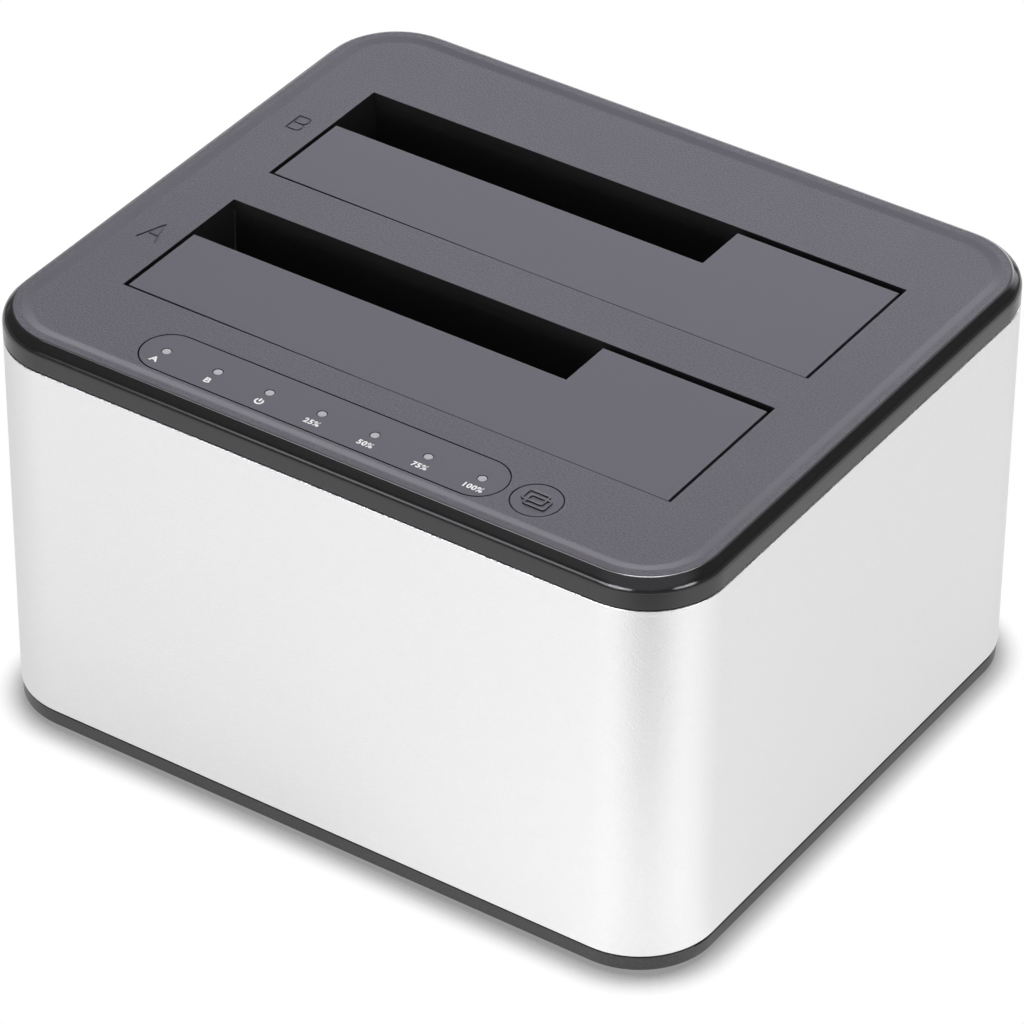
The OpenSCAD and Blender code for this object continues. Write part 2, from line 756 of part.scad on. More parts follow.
module tact_switch() {
    bore = stem_d + 0.6;
    well = stem_d + 1.6;
    well_h = collar_play + collar_t + button_travel + travel_spare;
    color("#6E7074") translate([button_x, row_y, led_board_top]) difference() {
        block([tact_w, tact_w, tact_h]);
        translate([0, 0, tact_h - tact_lid_t - well_h]) cylinder(d = well, h = well_h);
        translate([0, 0, tact_h - tact_lid_t - well_h / 2]) cylinder(d = bore, h = tact_h);
    }
}

// Electronics

module main_board() {
    color(board_colour) difference() {
        translate([-board_w / 2, board_front, board_z]) cube([board_w, board_back - board_front, board_t]);
        for (sx = [-1, 1], y = board_hole_y)
            translate([sx * board_hole_x, y, board_z - 1])
                cylinder(d = board_screw_d + 6 * screw_play, h = board_t + 2);
    }
}

module board_screws() {
    color(steel_colour) for (sx = [-1, 1], y = board_hole_y)
        translate([sx * board_hole_x, y, board_top]) rotate([180, 0, 0])
            screw(board_screw_d, board_screw_l, board_head_d, board_head_h);
}

// Receptacle with a short data slit and a long power slit, each with its keyed end
module sata_connector(y0) {
    slit_w = 1.4;
    slit_d = 5.2;
    key_l = 1.6;
    data_l = 11;
    power_l = 21.4;
    slit_gap = 2.4;
    start = -(data_l + power_l + slit_gap) / 2;
    top_z = well_floor_z + sata_rise;
    color("#1C1C1E") translate([sata_x, y0 + slot_w / 2 - sata_from_back, 0]) difference() {
        translate([0, 0, board_top]) block([sata_l, sata_w, top_z - board_top]);
        translate([start, -slit_w / 2, top_z - slit_d]) {
            cube([data_l, slit_w, 2 * slit_d]);
            cube([key_l, 2 * slit_w, 2 * slit_d]);
        }
        translate([start + data_l + slit_gap, -slit_w / 2, top_z - slit_d]) {
            cube([power_l, slit_w, 2 * slit_d]);
            translate([power_l - key_l, 0, 0]) cube([key_l, 2 * slit_w, 2 * slit_d]);
        }
    }
}

module bridge_chip() {
    color("#151515") translate([bridge_x, 0, board_top]) block([bridge_w, bridge_w, bridge_h]);
}

module memory_chips() {
    color("#151515") for (side = [-1, 1])
        translate([bridge_x + side * memory_reach, memory_y, board_top]) block(memory_size);
}

// Cans with the pressed groove above their foot
module capacitors() {
    color("#9AA0A8") for (x = can_x)
        translate([x, front_zone_y, board_top]) rotate_extrude() polygon([
            [0, 0], [can_r, 0], [can_r, 1], [can_r - 0.3, 1.3], [can_r - 0.3, 1.7], [can_r, 2],
            [can_r, can_h - 0.4], [can_r - 0.4, can_h], [0, can_h]
        ]);
}

module inductors() {
    color("#3C3C40") for (x = coil_x) translate([x, front_zone_y, board_top]) {
        block([coil_w, coil_w, coil_foot_h]);
        cylinder(d = coil_d, h = coil_h);
    }
}

header_size = [12, 5, 5];
header_y = front_zone_y;

// Flat cable of eight cores from the main board up to the small board
module ribbon_cable() {
    cores = 8;
    core_d = 1;
    core_pitch = 0.9;
    low = board_top + header_size[2];
    color("#8C8C90") translate([0, header_y, low])
        linear_extrude(led_board_z - header_size[2] - low)
            for (i = [0:cores - 1]) translate([(i - (cores - 1) / 2) * core_pitch, 0]) circle(d = core_d);
}

module ribbon_headers() {
    color("#E4E0D4") for (z = [board_top, led_board_z - header_size[2]])
        translate([0, header_y, z]) block(header_size);
}

// Rear ports

// Tray behind the sleeve's window, with the holes for the sockets and the switch
module port_panel() {
    outer = [port_w + 2 * port_border, port_h + 2 * port_border];
    low = base_lip_z;
    high = port_z + port_h / 2 + port_border;
    rim_y = body_d / 2 - plug_in;
    color(panel_colour) difference() {
        translate([-outer[0] / 2, port_inner_y, low]) cube([outer[0], rim_y - port_inner_y, high - low]);
        translate([0, port_face_y, port_z]) rotate([-90, 0, 0]) linear_extrude(2 * port_recess)
            rounded(port_w + 0.4, port_h + 0.4, port_r);
        translate([usb_x, port_inner_y, board_top - port_gap])
            block([usb_size[0] + 2 * port_gap, 8 * port_t, usb_size[2] + 2 * port_gap]);
        translate([dc_x, port_inner_y - 1, dc_axis_z]) rotate([-90, 0, 0])
            cylinder(d = dc_bore_d + 1.2, h = 4 * port_t);
        translate([switch_x, port_inner_y, switch_z - switch_body[2] / 2 - fit_gap])
            block([switch_body[0] + 2 * fit_gap, 8 * port_t, switch_body[2] + 2 * fit_gap]);
    }
}

// Opening of the data socket: a square with cut corners under a narrower slot
module usb_opening(grow) {
    low_w = 8.4 + grow;
    low_h = 6.6 + grow;
    cut = 1.4;
    high_w = 6 + grow;
    high_h = 3.2;
    polygon([
        [-low_w / 2, 0], [low_w / 2, 0], [low_w / 2, low_h - cut], [low_w / 2 - cut, low_h],
        [high_w / 2, low_h], [high_w / 2, low_h + high_h], [-high_w / 2, low_h + high_h],
        [-high_w / 2, low_h], [-low_w / 2 + cut, low_h], [-low_w / 2, low_h - cut]
    ]);
}

usb_mouth_y = port_face_y - 0.3;
usb_depth = 9;

module usb_socket() {
    color(steel_colour) difference() {
        translate([usb_x - usb_size[0] / 2, usb_mouth_y - usb_size[1], board_top]) cube(usb_size);
        translate([usb_x, usb_mouth_y - usb_depth, board_top + usb_wall]) rotate([90, 0, 180])
            linear_extrude(2 * usb_depth) usb_opening(0);
    }
}

// Tongues that carry the contacts inside the data socket
module usb_insulator() {
    tongue_l = usb_depth - 1;
    color("#2B4C9A") translate([usb_x, usb_mouth_y - usb_depth + tongue_l / 2, board_top + usb_wall]) {
        translate([0, 0, 1.8]) block([5.6, tongue_l, 3]);
        translate([0, 0, 7.2]) block([4.2, tongue_l, 1.2]);
    }
}

dc_front_y = port_inner_y - 0.1;
dc_depth = 9;

module dc_jack() {
    color("#1A1A1A") difference() {
        translate([dc_x - dc_size[0] / 2, dc_front_y - dc_size[1], board_top]) cube(dc_size);
        translate([dc_x, dc_front_y - dc_depth, dc_axis_z]) rotate([-90, 0, 0])
            cylinder(d = dc_bore_d, h = 2 * dc_depth);
    }
}

module dc_pin() {
    color(steel_colour) translate([dc_x, dc_front_y - dc_depth, dc_axis_z]) rotate([-90, 0, 0])
        cylinder(d = dc_pin_d, h = dc_depth - 1);
}

// Snap-in switch: bezel on the port panel, body behind it, open at the front
module power_switch() {
    cavity = [switch_body[0] - 2 * switch_wall, 8, switch_body[2] - 2 * switch_wall];
    color("#1E1E20") translate([switch_x, 0, switch_z]) difference() {
        union() {
            translate([-switch_bezel[0] / 2, port_face_y, -switch_bezel[2] / 2]) cube(switch_bezel);
            translate([-switch_body[0] / 2, port_face_y - switch_body[1], -switch_body[2] / 2])
                cube(switch_body + [0, weld, 0]);
        }
        translate([-cavity[0] / 2, switch_face_y - cavity[1], -cavity[2] / 2])
            cube([cavity[0], 2 * cavity[1], cavity[2]]);
        translate([0, rocker_axis_y, -switch_body[2]])
            cylinder(d = rocker_pin_d + 2 * pin_clear, h = 2 * switch_body[2]);
    }
}

// Rocker with two slanting faces, tipped to its off side
module power_rocker() {
    half_l = 5;
    dip = 0.5;
    rise = 4;
    depth = 1.6;
    height = switch_body[2] - 2 * switch_wall - 0.6;
    color("#141414") translate([switch_x, rocker_axis_y, switch_z]) rotate(-rocker_throw / 2) {
        translate([0, 0, -height / 2]) linear_extrude(height) polygon([
            [-half_l, 1], [-half_l, rise], [0, rise - dip], [half_l, rise],
            [half_l, 1], [depth, -depth], [-depth, -depth]
        ]);
        cylinder(d = rocker_pin_d, h = switch_body[2] - 0.4, center = true);
    }
}

// Two wires from the switch's tabs down to the main board
module switch_leads() {
    bend = 3;
    start_y = port_face_y - switch_body[1];
    drop = switch_z - bend - board_top;
    color("#A03028") for (sx = [-1, 1]) translate([switch_x + sx * 3.5, start_y, switch_z]) {
        translate([0, -bend + 1, 0]) rotate([-90, 0, 0]) cylinder(d = lead_d, h = bend - 1);
        translate([0, -bend + 1, -bend]) rotate([90, 0, -90]) rotate_extrude(angle = 90)
            translate([bend, 0]) circle(d = lead_d);
        translate([0, 1 - 2 * bend, -bend]) mirror([0, 0, 1]) cylinder(d = lead_d, h = drop);
    }
}

sleeve();
top_cover();
base_tray();
rubber_feet();
base_screws();
drive_well(bay_a_y);  // drive_well_a
drive_well(bay_b_y);  // drive_well_b
well_screws();
flap(bay_a_y);  // flap_a
flap(bay_b_y);  // flap_b
hinge_pin(bay_a_y);  // hinge_pin_a
hinge_pin(bay_b_y);  // hinge_pin_b
flap_spring(bay_a_y);  // flap_spring_a
flap_spring(bay_b_y);  // flap_spring_b
indicator_panel();
light_pipe();
led_board();
leds();
led_board_screws();
clone_button();
switch_plunger();
tact_switch();
main_board();
board_screws();
sata_connector(bay_a_y);  // sata_connector_a
sata_connector(bay_b_y);  // sata_connector_b
bridge_chip();
memory_chips();
capacitors();
inductors();
ribbon_cable();
ribbon_headers();
port_panel();
usb_socket();
usb_insulator();
dc_jack();
dc_pin();
power_switch();
power_rocker();
switch_leads();
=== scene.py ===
"""Looks of a two-bay docking station for bare drives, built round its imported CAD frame."""

import logging
import math
from dataclasses import dataclass
from enum import Enum
from typing import Callable, Sequence

import bmesh
import bpy
from mathutils import Matrix, Vector


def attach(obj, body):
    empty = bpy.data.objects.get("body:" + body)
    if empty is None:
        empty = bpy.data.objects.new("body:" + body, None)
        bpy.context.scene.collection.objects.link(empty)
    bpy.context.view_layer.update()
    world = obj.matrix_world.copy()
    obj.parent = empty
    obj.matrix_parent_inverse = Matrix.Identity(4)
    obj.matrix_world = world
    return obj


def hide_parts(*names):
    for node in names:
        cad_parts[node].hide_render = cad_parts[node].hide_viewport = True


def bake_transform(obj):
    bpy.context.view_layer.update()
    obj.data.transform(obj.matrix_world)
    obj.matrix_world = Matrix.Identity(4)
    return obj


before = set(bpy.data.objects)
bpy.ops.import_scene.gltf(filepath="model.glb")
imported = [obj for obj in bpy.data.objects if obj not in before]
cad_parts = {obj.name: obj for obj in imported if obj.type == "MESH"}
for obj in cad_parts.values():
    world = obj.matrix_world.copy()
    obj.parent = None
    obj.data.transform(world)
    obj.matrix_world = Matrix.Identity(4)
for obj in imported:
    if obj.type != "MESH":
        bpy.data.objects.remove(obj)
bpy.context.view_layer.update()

MM = 0.001
LOG = logging.getLogger("dock")
Colour = tuple[float, float, float]
EdgeTest = Callable[[bmesh.types.BMEdge], bool]


class Body(Enum):
    """Bodies of the frame that pieces ride on."""

    HOUSING = "housing"
    FLAP_A = "flap_a"
    FLAP_B = "flap_b"
    BUTTON = "button"
    ROCKER = "rocker"


class Slot(Enum):
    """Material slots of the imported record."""

    SLEEVE = "satin_aluminium"
    COVER = "cover_plastic"
    BASE = "base_plastic"
    FLAP = "flap_plastic"
    BLACK = "black_plastic"
    CONNECTOR = "connector_plastic"
    BLUE = "blue_plastic"
    CLEAR = "clear_plastic"
    STEEL = "steel"
    RUBBER = "rubber"


@dataclass(frozen=True)
class DockSizes:
    """Sizes of the docking station in millimetres, as in the CAD source."""

    body_w: float = 133.5
    body_d: float = 113.0
    corner_r: float = 14.0
    cover_z: float = 72.1
    shadow_h: float = 0.25
    band_h: float = 3.8
    rim_z: float = 77.4
    panel_z: float = 77.2
    edge_in: float = 1.6
    rim_w: float = 1.7
    dish_w: float = 1.6
    slot_l: float = 104.0
    slot_w: float = 30.0
    bay_pitch: float = 39.6
    row_y: float = -45.9
    led_x0: float = -35.0
    led_pitch: float = 10.0
    button_x: float = 35.0

    def inset(self, x: float, y: float) -> float:
        """Depth of a point in from the housing's outline, seen from above.

        Args:
            x: Place along X in millimetres.
            y: Place along Y in millimetres.

        Returns:
            The depth in millimetres, positive inside.
        """
        corner_x, corner_y = self.corner()
        qx, qy = abs(x) - corner_x, abs(y) - corner_y
        outside = math.hypot(max(qx, 0.0), max(qy, 0.0))
        return self.corner_r - outside - min(max(qx, qy), 0.0)

    def corner(self) -> tuple[float, float]:
        """Middle of the rounding at the corner towards +X and +Y, in millimetres."""
        return self.body_w / 2 - self.corner_r, self.body_d / 2 - self.corner_r


SIZES = DockSizes()


class Slack:
    """Limits by which edges and faces are picked: lengths in millimetres, cosines, angles in radians."""

    LEVEL = 0.01
    FACE = 0.005
    FRONT = 0.02
    OUTLINE = 0.03
    SIDE = 1.0
    WELL_INSIDE = 5.3
    LONG = 20.0
    FACING = 0.5
    UPRIGHT = 0.99
    BEND = 0.02
    SQUARE = 1.0


class Graph:
    """Short way to write a node tree.

    Attributes:
        source: Input node of a group.
        sink: Output node of a group.
        out: Output node of a stage material.
    """

    source: bpy.types.Node
    sink: bpy.types.Node
    out: bpy.types.Node

    def __init__(self, tree: bpy.types.NodeTree) -> None:
        """Takes a tree and empties it.

        Args:
            tree: The node tree to fill.
        """
        self.tree = tree
        tree.nodes.clear()

    def add(self, kind: str, **values: object) -> bpy.types.Node:
        """Adds a node and sets its properties.

        Args:
            kind: Node type without the ShaderNode prefix, or a full group node name.
            values: Properties of the node.

        Returns:
            The new node.
        """
        node = self.tree.nodes.new(kind if kind.startswith("NodeGroup") else "ShaderNode" + kind)
        for key, value in values.items():
            setattr(node, key, value)
        return node

    def link(self, source: bpy.types.NodeSocket, target: bpy.types.NodeSocket) -> None:
        """Joins an output to an input."""
        self.tree.links.new(source, target)

    def group(self, tree: bpy.types.NodeTree, place: bpy.types.NodeSocket, **inputs: float) -> bpy.types.Node:
        """Places a shared effect.

        Args:
            tree: The effect's node group.
            place: Coordinates that the effect lies on.
            inputs: Values of its sockets, with _ for a space.

        Returns:
            The group node.
        """
        node = self.add("Group")
        node.node_tree = tree
        for key, value in inputs.items():
            node.inputs[key.replace("_", " ")].default_value = value
        self.link(place, node.inputs["Vector"])
        return node

    def bump(self, shader: bpy.types.Node, height: bpy.types.NodeSocket, strength: float,
             depth_mm: float) -> None:
        """Roughens the surface of a shader.

        Args:
            shader: The shader.
            height: Height over the surface, from 0 to 1.
            strength: How much of the height shows.
            depth_mm: Depth of the full height in millimetres.
        """
        node = self.add("Bump")
        node.inputs["Strength"].default_value = strength
        node.inputs["Distance"].default_value = depth_mm * MM
        self.link(height, node.inputs["Height"])
        self.link(node.outputs["Normal"], shader.inputs["Normal"])

    def math(self, operation: str, a: object, b: object = 0.0) -> bpy.types.NodeSocket:
        """Adds a math node.

        Args:
            operation: Blender's name of the operation.
            a: A socket or a number.
            b: A socket or a number.

        Returns:
            The result's socket.
        """
        node = self.add("Math", operation=operation)
        for socket, value in zip(node.inputs, (a, b)):
            if isinstance(value, (int, float)):
                socket.default_value = value
            else:
                self.link(value, socket)
        return node.outputs[0]

    def spread(self, value: bpy.types.NodeSocket, low: float, high: float,
               from_low: float = 0.0, from_high: float = 1.0, smooth: bool = False) -> bpy.types.NodeSocket:
        """Maps a value from one span to another.

        Args:
            value: The socket to map.
            low: Result at from_low.
            high: Result at from_high.
            from_low: Start of the span that is read.
            from_high: End of the span that is read.
            smooth: Ease in and out in place of a straight line.

        Returns:
            The mapped socket.
        """
        node = self.add("MapRange", interpolation_type="SMOOTHSTEP" if smooth else "LINEAR")
        self.link(value, node.inputs["Value"])
        node.inputs["From Min"].default_value = from_low
        node.inputs["From Max"].default_value = from_high
        node.inputs["To Min"].default_value = low
        node.inputs["To Max"].default_value = high
        return node.outputs["Result"]

    def blend(self, factor: object, a: object, b: object, mode: str = "MIX") -> bpy.types.NodeSocket:
        """Mixes two colours.

        Args:
            factor: A socket or a number.
            a: A socket or a colour.
            b: A socket or a colour.
            mode: Blender's name of the blend.

        Returns:
            The mixed colour's socket.
        """
        node = self.add("Mix", data_type="RGBA", blend_type=mode)
        for socket, value in ((node.inputs[0], factor), (node.inputs[6], a), (node.inputs[7], b)):
            if isinstance(value, (int, float)):
                socket.default_value = value
            elif isinstance(value, tuple):
                socket.default_value = (*value, 1.0)
            else:
                self.link(value, socket)
        return node.outputs[2]


class Effects:
    """Shader node groups that several finishes share, each built once."""

    made: dict[str, bpy.types.NodeTree] = {}

    @classmethod
    def _start(cls, name: str, inputs: Sequence[tuple[str, float]], outputs: Sequence[str]) -> Graph:
        """Makes an empty group with a vector input and named values.

        Args:
            name: Name of the group.
            inputs: Names and values of the number inputs.
            outputs: Names of the number outputs.

        Returns:
            A graph with its input node as source and output node as sink.
        """
        tree = bpy.data.node_groups.new(name, "ShaderNodeTree")
        tree.interface.new_socket("Vector", in_out="INPUT", socket_type="NodeSocketVector")
        for label, value in inputs:
            socket = tree.interface.new_socket(label, in_out="INPUT", socket_type="NodeSocketFloat")
            socket.default_value = value
        for label in outputs:
            tree.interface.new_socket(label, in_out="OUTPUT", socket_type="NodeSocketFloat")
        graph = Graph(tree)
        graph.source = graph.add("NodeGroupInput")
        graph.sink = graph.add("NodeGroupOutput")
        cls.made[name] = tree
        return graph

    @classmethod
    def moulded_grain(cls) -> bpy.types.NodeTree:
        """Spark-eroded grain of a moulded surface: height and shade.

        Returns:
            The node group.
        """
        if "moulded_grain" not in cls.made:
            g = cls._start("moulded_grain", [("Scale", 2500.0)], ["Height", "Shade"])
            noise = g.add("TexNoise")
            noise.inputs["Detail"].default_value = 2.5
            noise.inputs["Roughness"].default_value = 0.62
            pits = g.add("TexVoronoi", feature="SMOOTH_F1")
            g.link(g.source.outputs["Vector"], noise.inputs["Vector"])
            g.link(g.source.outputs["Vector"], pits.inputs["Vector"])
            g.link(g.source.outputs["Scale"], noise.inputs["Scale"])
            g.link(g.math("MULTIPLY", g.source.outputs["Scale"], 1.35), pits.inputs["Scale"])
            bumps = g.spread(noise.outputs["Fac"], 0.0, 1.0, 0.3, 0.7)
            height = g.math("ADD", g.math("MULTIPLY", bumps, 0.65),
                            g.math("MULTIPLY", pits.outputs["Distance"], 0.35))
            g.link(height, g.sink.inputs["Height"])
            g.link(bumps, g.sink.inputs["Shade"])
        return cls.made["moulded_grain"]

    @classmethod
    def handling(cls) -> bpy.types.NodeTree:
        """Broad uneven patches left by handling and cleaning.

        Returns:
            The node group.
        """
        if "handling" not in cls.made:
            g = cls._start("handling", [("Scale", 35.0)], ["Smudge"])
            noise = g.add("TexNoise")
            noise.inputs["Detail"].default_value = 4.0
            noise.inputs["Distortion"].default_value = 0.6
            g.link(g.source.outputs["Vector"], noise.inputs["Vector"])
            g.link(g.source.outputs["Scale"], noise.inputs["Scale"])
            g.link(g.spread(noise.outputs["Fac"], 0.0, 1.0, 0.32, 0.68), g.sink.inputs["Smudge"])
        return cls.made["handling"]

    @classmethod
    def blasted(cls) -> bpy.types.NodeTree:
        """Bead-blasted metal: crowded small dents with a sparkle of shade.

        Returns:
            The node group.
        """
        if "blasted" not in cls.made:
            g = cls._start("blasted", [("Scale", 3200.0)], ["Height", "Sparkle"])
            dents = g.add("TexVoronoi", feature="F1")
            fine = g.add("TexNoise")
            fine.inputs["Detail"].default_value = 2.0
            fine.inputs["Roughness"].default_value = 0.7
            for node in (dents, fine):
                g.link(g.source.outputs["Vector"], node.inputs["Vector"])
            g.link(g.source.outputs["Scale"], dents.inputs["Scale"])
            g.link(g.math("MULTIPLY", g.source.outputs["Scale"], 0.8), fine.inputs["Scale"])
            height = g.math("ADD", g.math("MULTIPLY", dents.outputs["Distance"], 0.5),
                            g.math("MULTIPLY", fine.outputs["Fac"], 0.5))
            g.link(height, g.sink.inputs["Height"])
            g.link(g.spread(fine.outputs["Fac"], 0.0, 1.0, 0.3, 0.7), g.sink.inputs["Sparkle"])
        return cls.made["blasted"]


class Finish:
    """A material that is made once and shared by all pieces that have it."""

    name: str

    def material(self) -> bpy.types.Material:
        """Makes the material, or gives the one made before.

        Returns:
            The material.
        """
        if self.name in bpy.data.materials:
            return bpy.data.materials[self.name]
        made = bpy.data.materials.new(self.name)
        made.use_nodes = True
        g = Graph(made.node_tree)
        shader, out = g.add("BsdfPrincipled"), g.add("OutputMaterial")
        self.dress(g, shader, g.add("TexCoord").outputs["Object"])
        g.link(shader.outputs["BSDF"], out.inputs["Surface"])
        return made

    def dress(self, g: Graph, shader: bpy.types.Node, place: bpy.types.NodeSocket) -> None:
        """Sets the looks of the shader.

        Args:
            g: Graph of the material.
            shader: Its shader.
            place: Object coordinates.
        """
        raise NotImplementedError


@dataclass(frozen=True)
class PlasticFinish(Finish):
    """Moulded plastic or rubber with a grain, uneven gloss and a trace of dust."""

    name: str
    dark: Colour
    light: Colour
    roughness: float = 0.5
    gloss_spread: float = 0.04
    grain_mm: float = 0.4
    grain_depth_mm: float = 0.02
    grain_strength: float = 0.5
    ior: float = 1.5
    specular: float = 0.5
    smudge_scale: float = 35.0
    dust: float = 0.12

    def dress(self, g: Graph, shader: bpy.types.Node, place: bpy.types.NodeSocket) -> None:
        """Sets the looks of the shader.

        Args:
            g: Graph of the material.
            shader: Its shader.
            place: Object coordinates.
        """
        grain = g.group(Effects.moulded_grain(), place, Scale=1.0 / (self.grain_mm * MM))
        smudge = g.group(Effects.handling(), place, Scale=self.smudge_scale)
        toned = g.blend(grain.outputs["Shade"], self.dark, self.light)
        worn = g.blend(g.spread(smudge.outputs["Smudge"], 0.0, self.dust), toned, self.light)
        g.link(worn, shader.inputs["Base Color"])
        gloss = g.spread(smudge.outputs["Smudge"], self.roughness - self.gloss_spread,
                         self.roughness + self.gloss_spread)
        g.link(gloss, shader.inputs["Roughness"])
        g.bump(shader, grain.outputs["Height"], self.grain_strength, self.grain_depth_mm)
        shader.inputs["IOR"].default_value = self.ior
        shader.inputs["Specular IOR Level"].default_value = self.specular


@dataclass(frozen=True)
class MetalFinish(Finish):
    """Bare or anodised metal with a fine blasted or drawn surface."""

    name: str
    dark: Colour
    light: Colour
    roughness: float = 0.35
    gloss_spread: float = 0.04
    grain_mm: float = 0.3
    grain_depth_mm: float = 0.01
    grain_strength: float = 0.4
    smudge_scale: float = 22.0

    def dress(self, g: Graph, shader: bpy.types.Node, place: bpy.types.NodeSocket) -> None:
        """Sets the looks of the shader.

        Args:
            g: Graph of the material.
            shader: Its shader.
            place: Object coordinates.
        """
        grain = g.group(Effects.blasted(), place, Scale=1.0 / (self.grain_mm * MM))
        smudge = g.group(Effects.handling(), place, Scale=self.smudge_scale)
        g.link(g.blend(grain.outputs["Sparkle"], self.dark, self.light), shader.inputs["Base Color"])
        gloss = g.spread(smudge.outputs["Smudge"], self.roughness - self.gloss_spread,
                         self.roughness + self.gloss_spread)
        g.link(gloss, shader.inputs["Roughness"])
        g.bump(shader, grain.outputs["Height"], self.grain_strength, self.grain_depth_mm)
        shader.inputs["Metallic"].default_value = 1.0


@dataclass(frozen=True)
class BoardFinish(Finish):
    """Solder mask over copper tracks on a circuit board."""

    name: str
    mask: Colour
    track: Colour
    pitch_mm: float = 2.2
    pitches: int = 8
    gap: float = 0.03
    gloss: tuple[float, float] = (0.28, 0.4)
    track_strength: float = 0.3
    track_depth_mm: float = 0.03
    smudge_scale: float = 60.0

    def dress(self, g: Graph, shader: bpy.types.Node, place: bpy.types.NodeSocket) -> None:
        """Sets the looks of the shader.

        Args:
            g: Graph of the material.
            shader: Its shader.
            place: Object coordinates.
        """
        bricks = g.add("TexBrick")
        bricks.inputs["Scale"].default_value = 1.0 / (self.pitch_mm * self.pitches * MM)
        bricks.inputs["Mortar Size"].default_value = self.gap
        for socket, level in (("Color1", 0.0), ("Color2", 0.25), ("Mortar", 1.0)):
            bricks.inputs[socket].default_value = (level, level, level, 1.0)
        smudge = g.group(Effects.handling(), place, Scale=self.smudge_scale)
        g.link(place, bricks.inputs["Vector"])
        g.link(g.blend(bricks.outputs["Color"], self.mask, self.track), shader.inputs["Base Color"])
        g.link(g.spread(smudge.outputs["Smudge"], *self.gloss), shader.inputs["Roughness"])
        g.bump(shader, bricks.outputs["Fac"], self.track_strength, self.track_depth_mm)


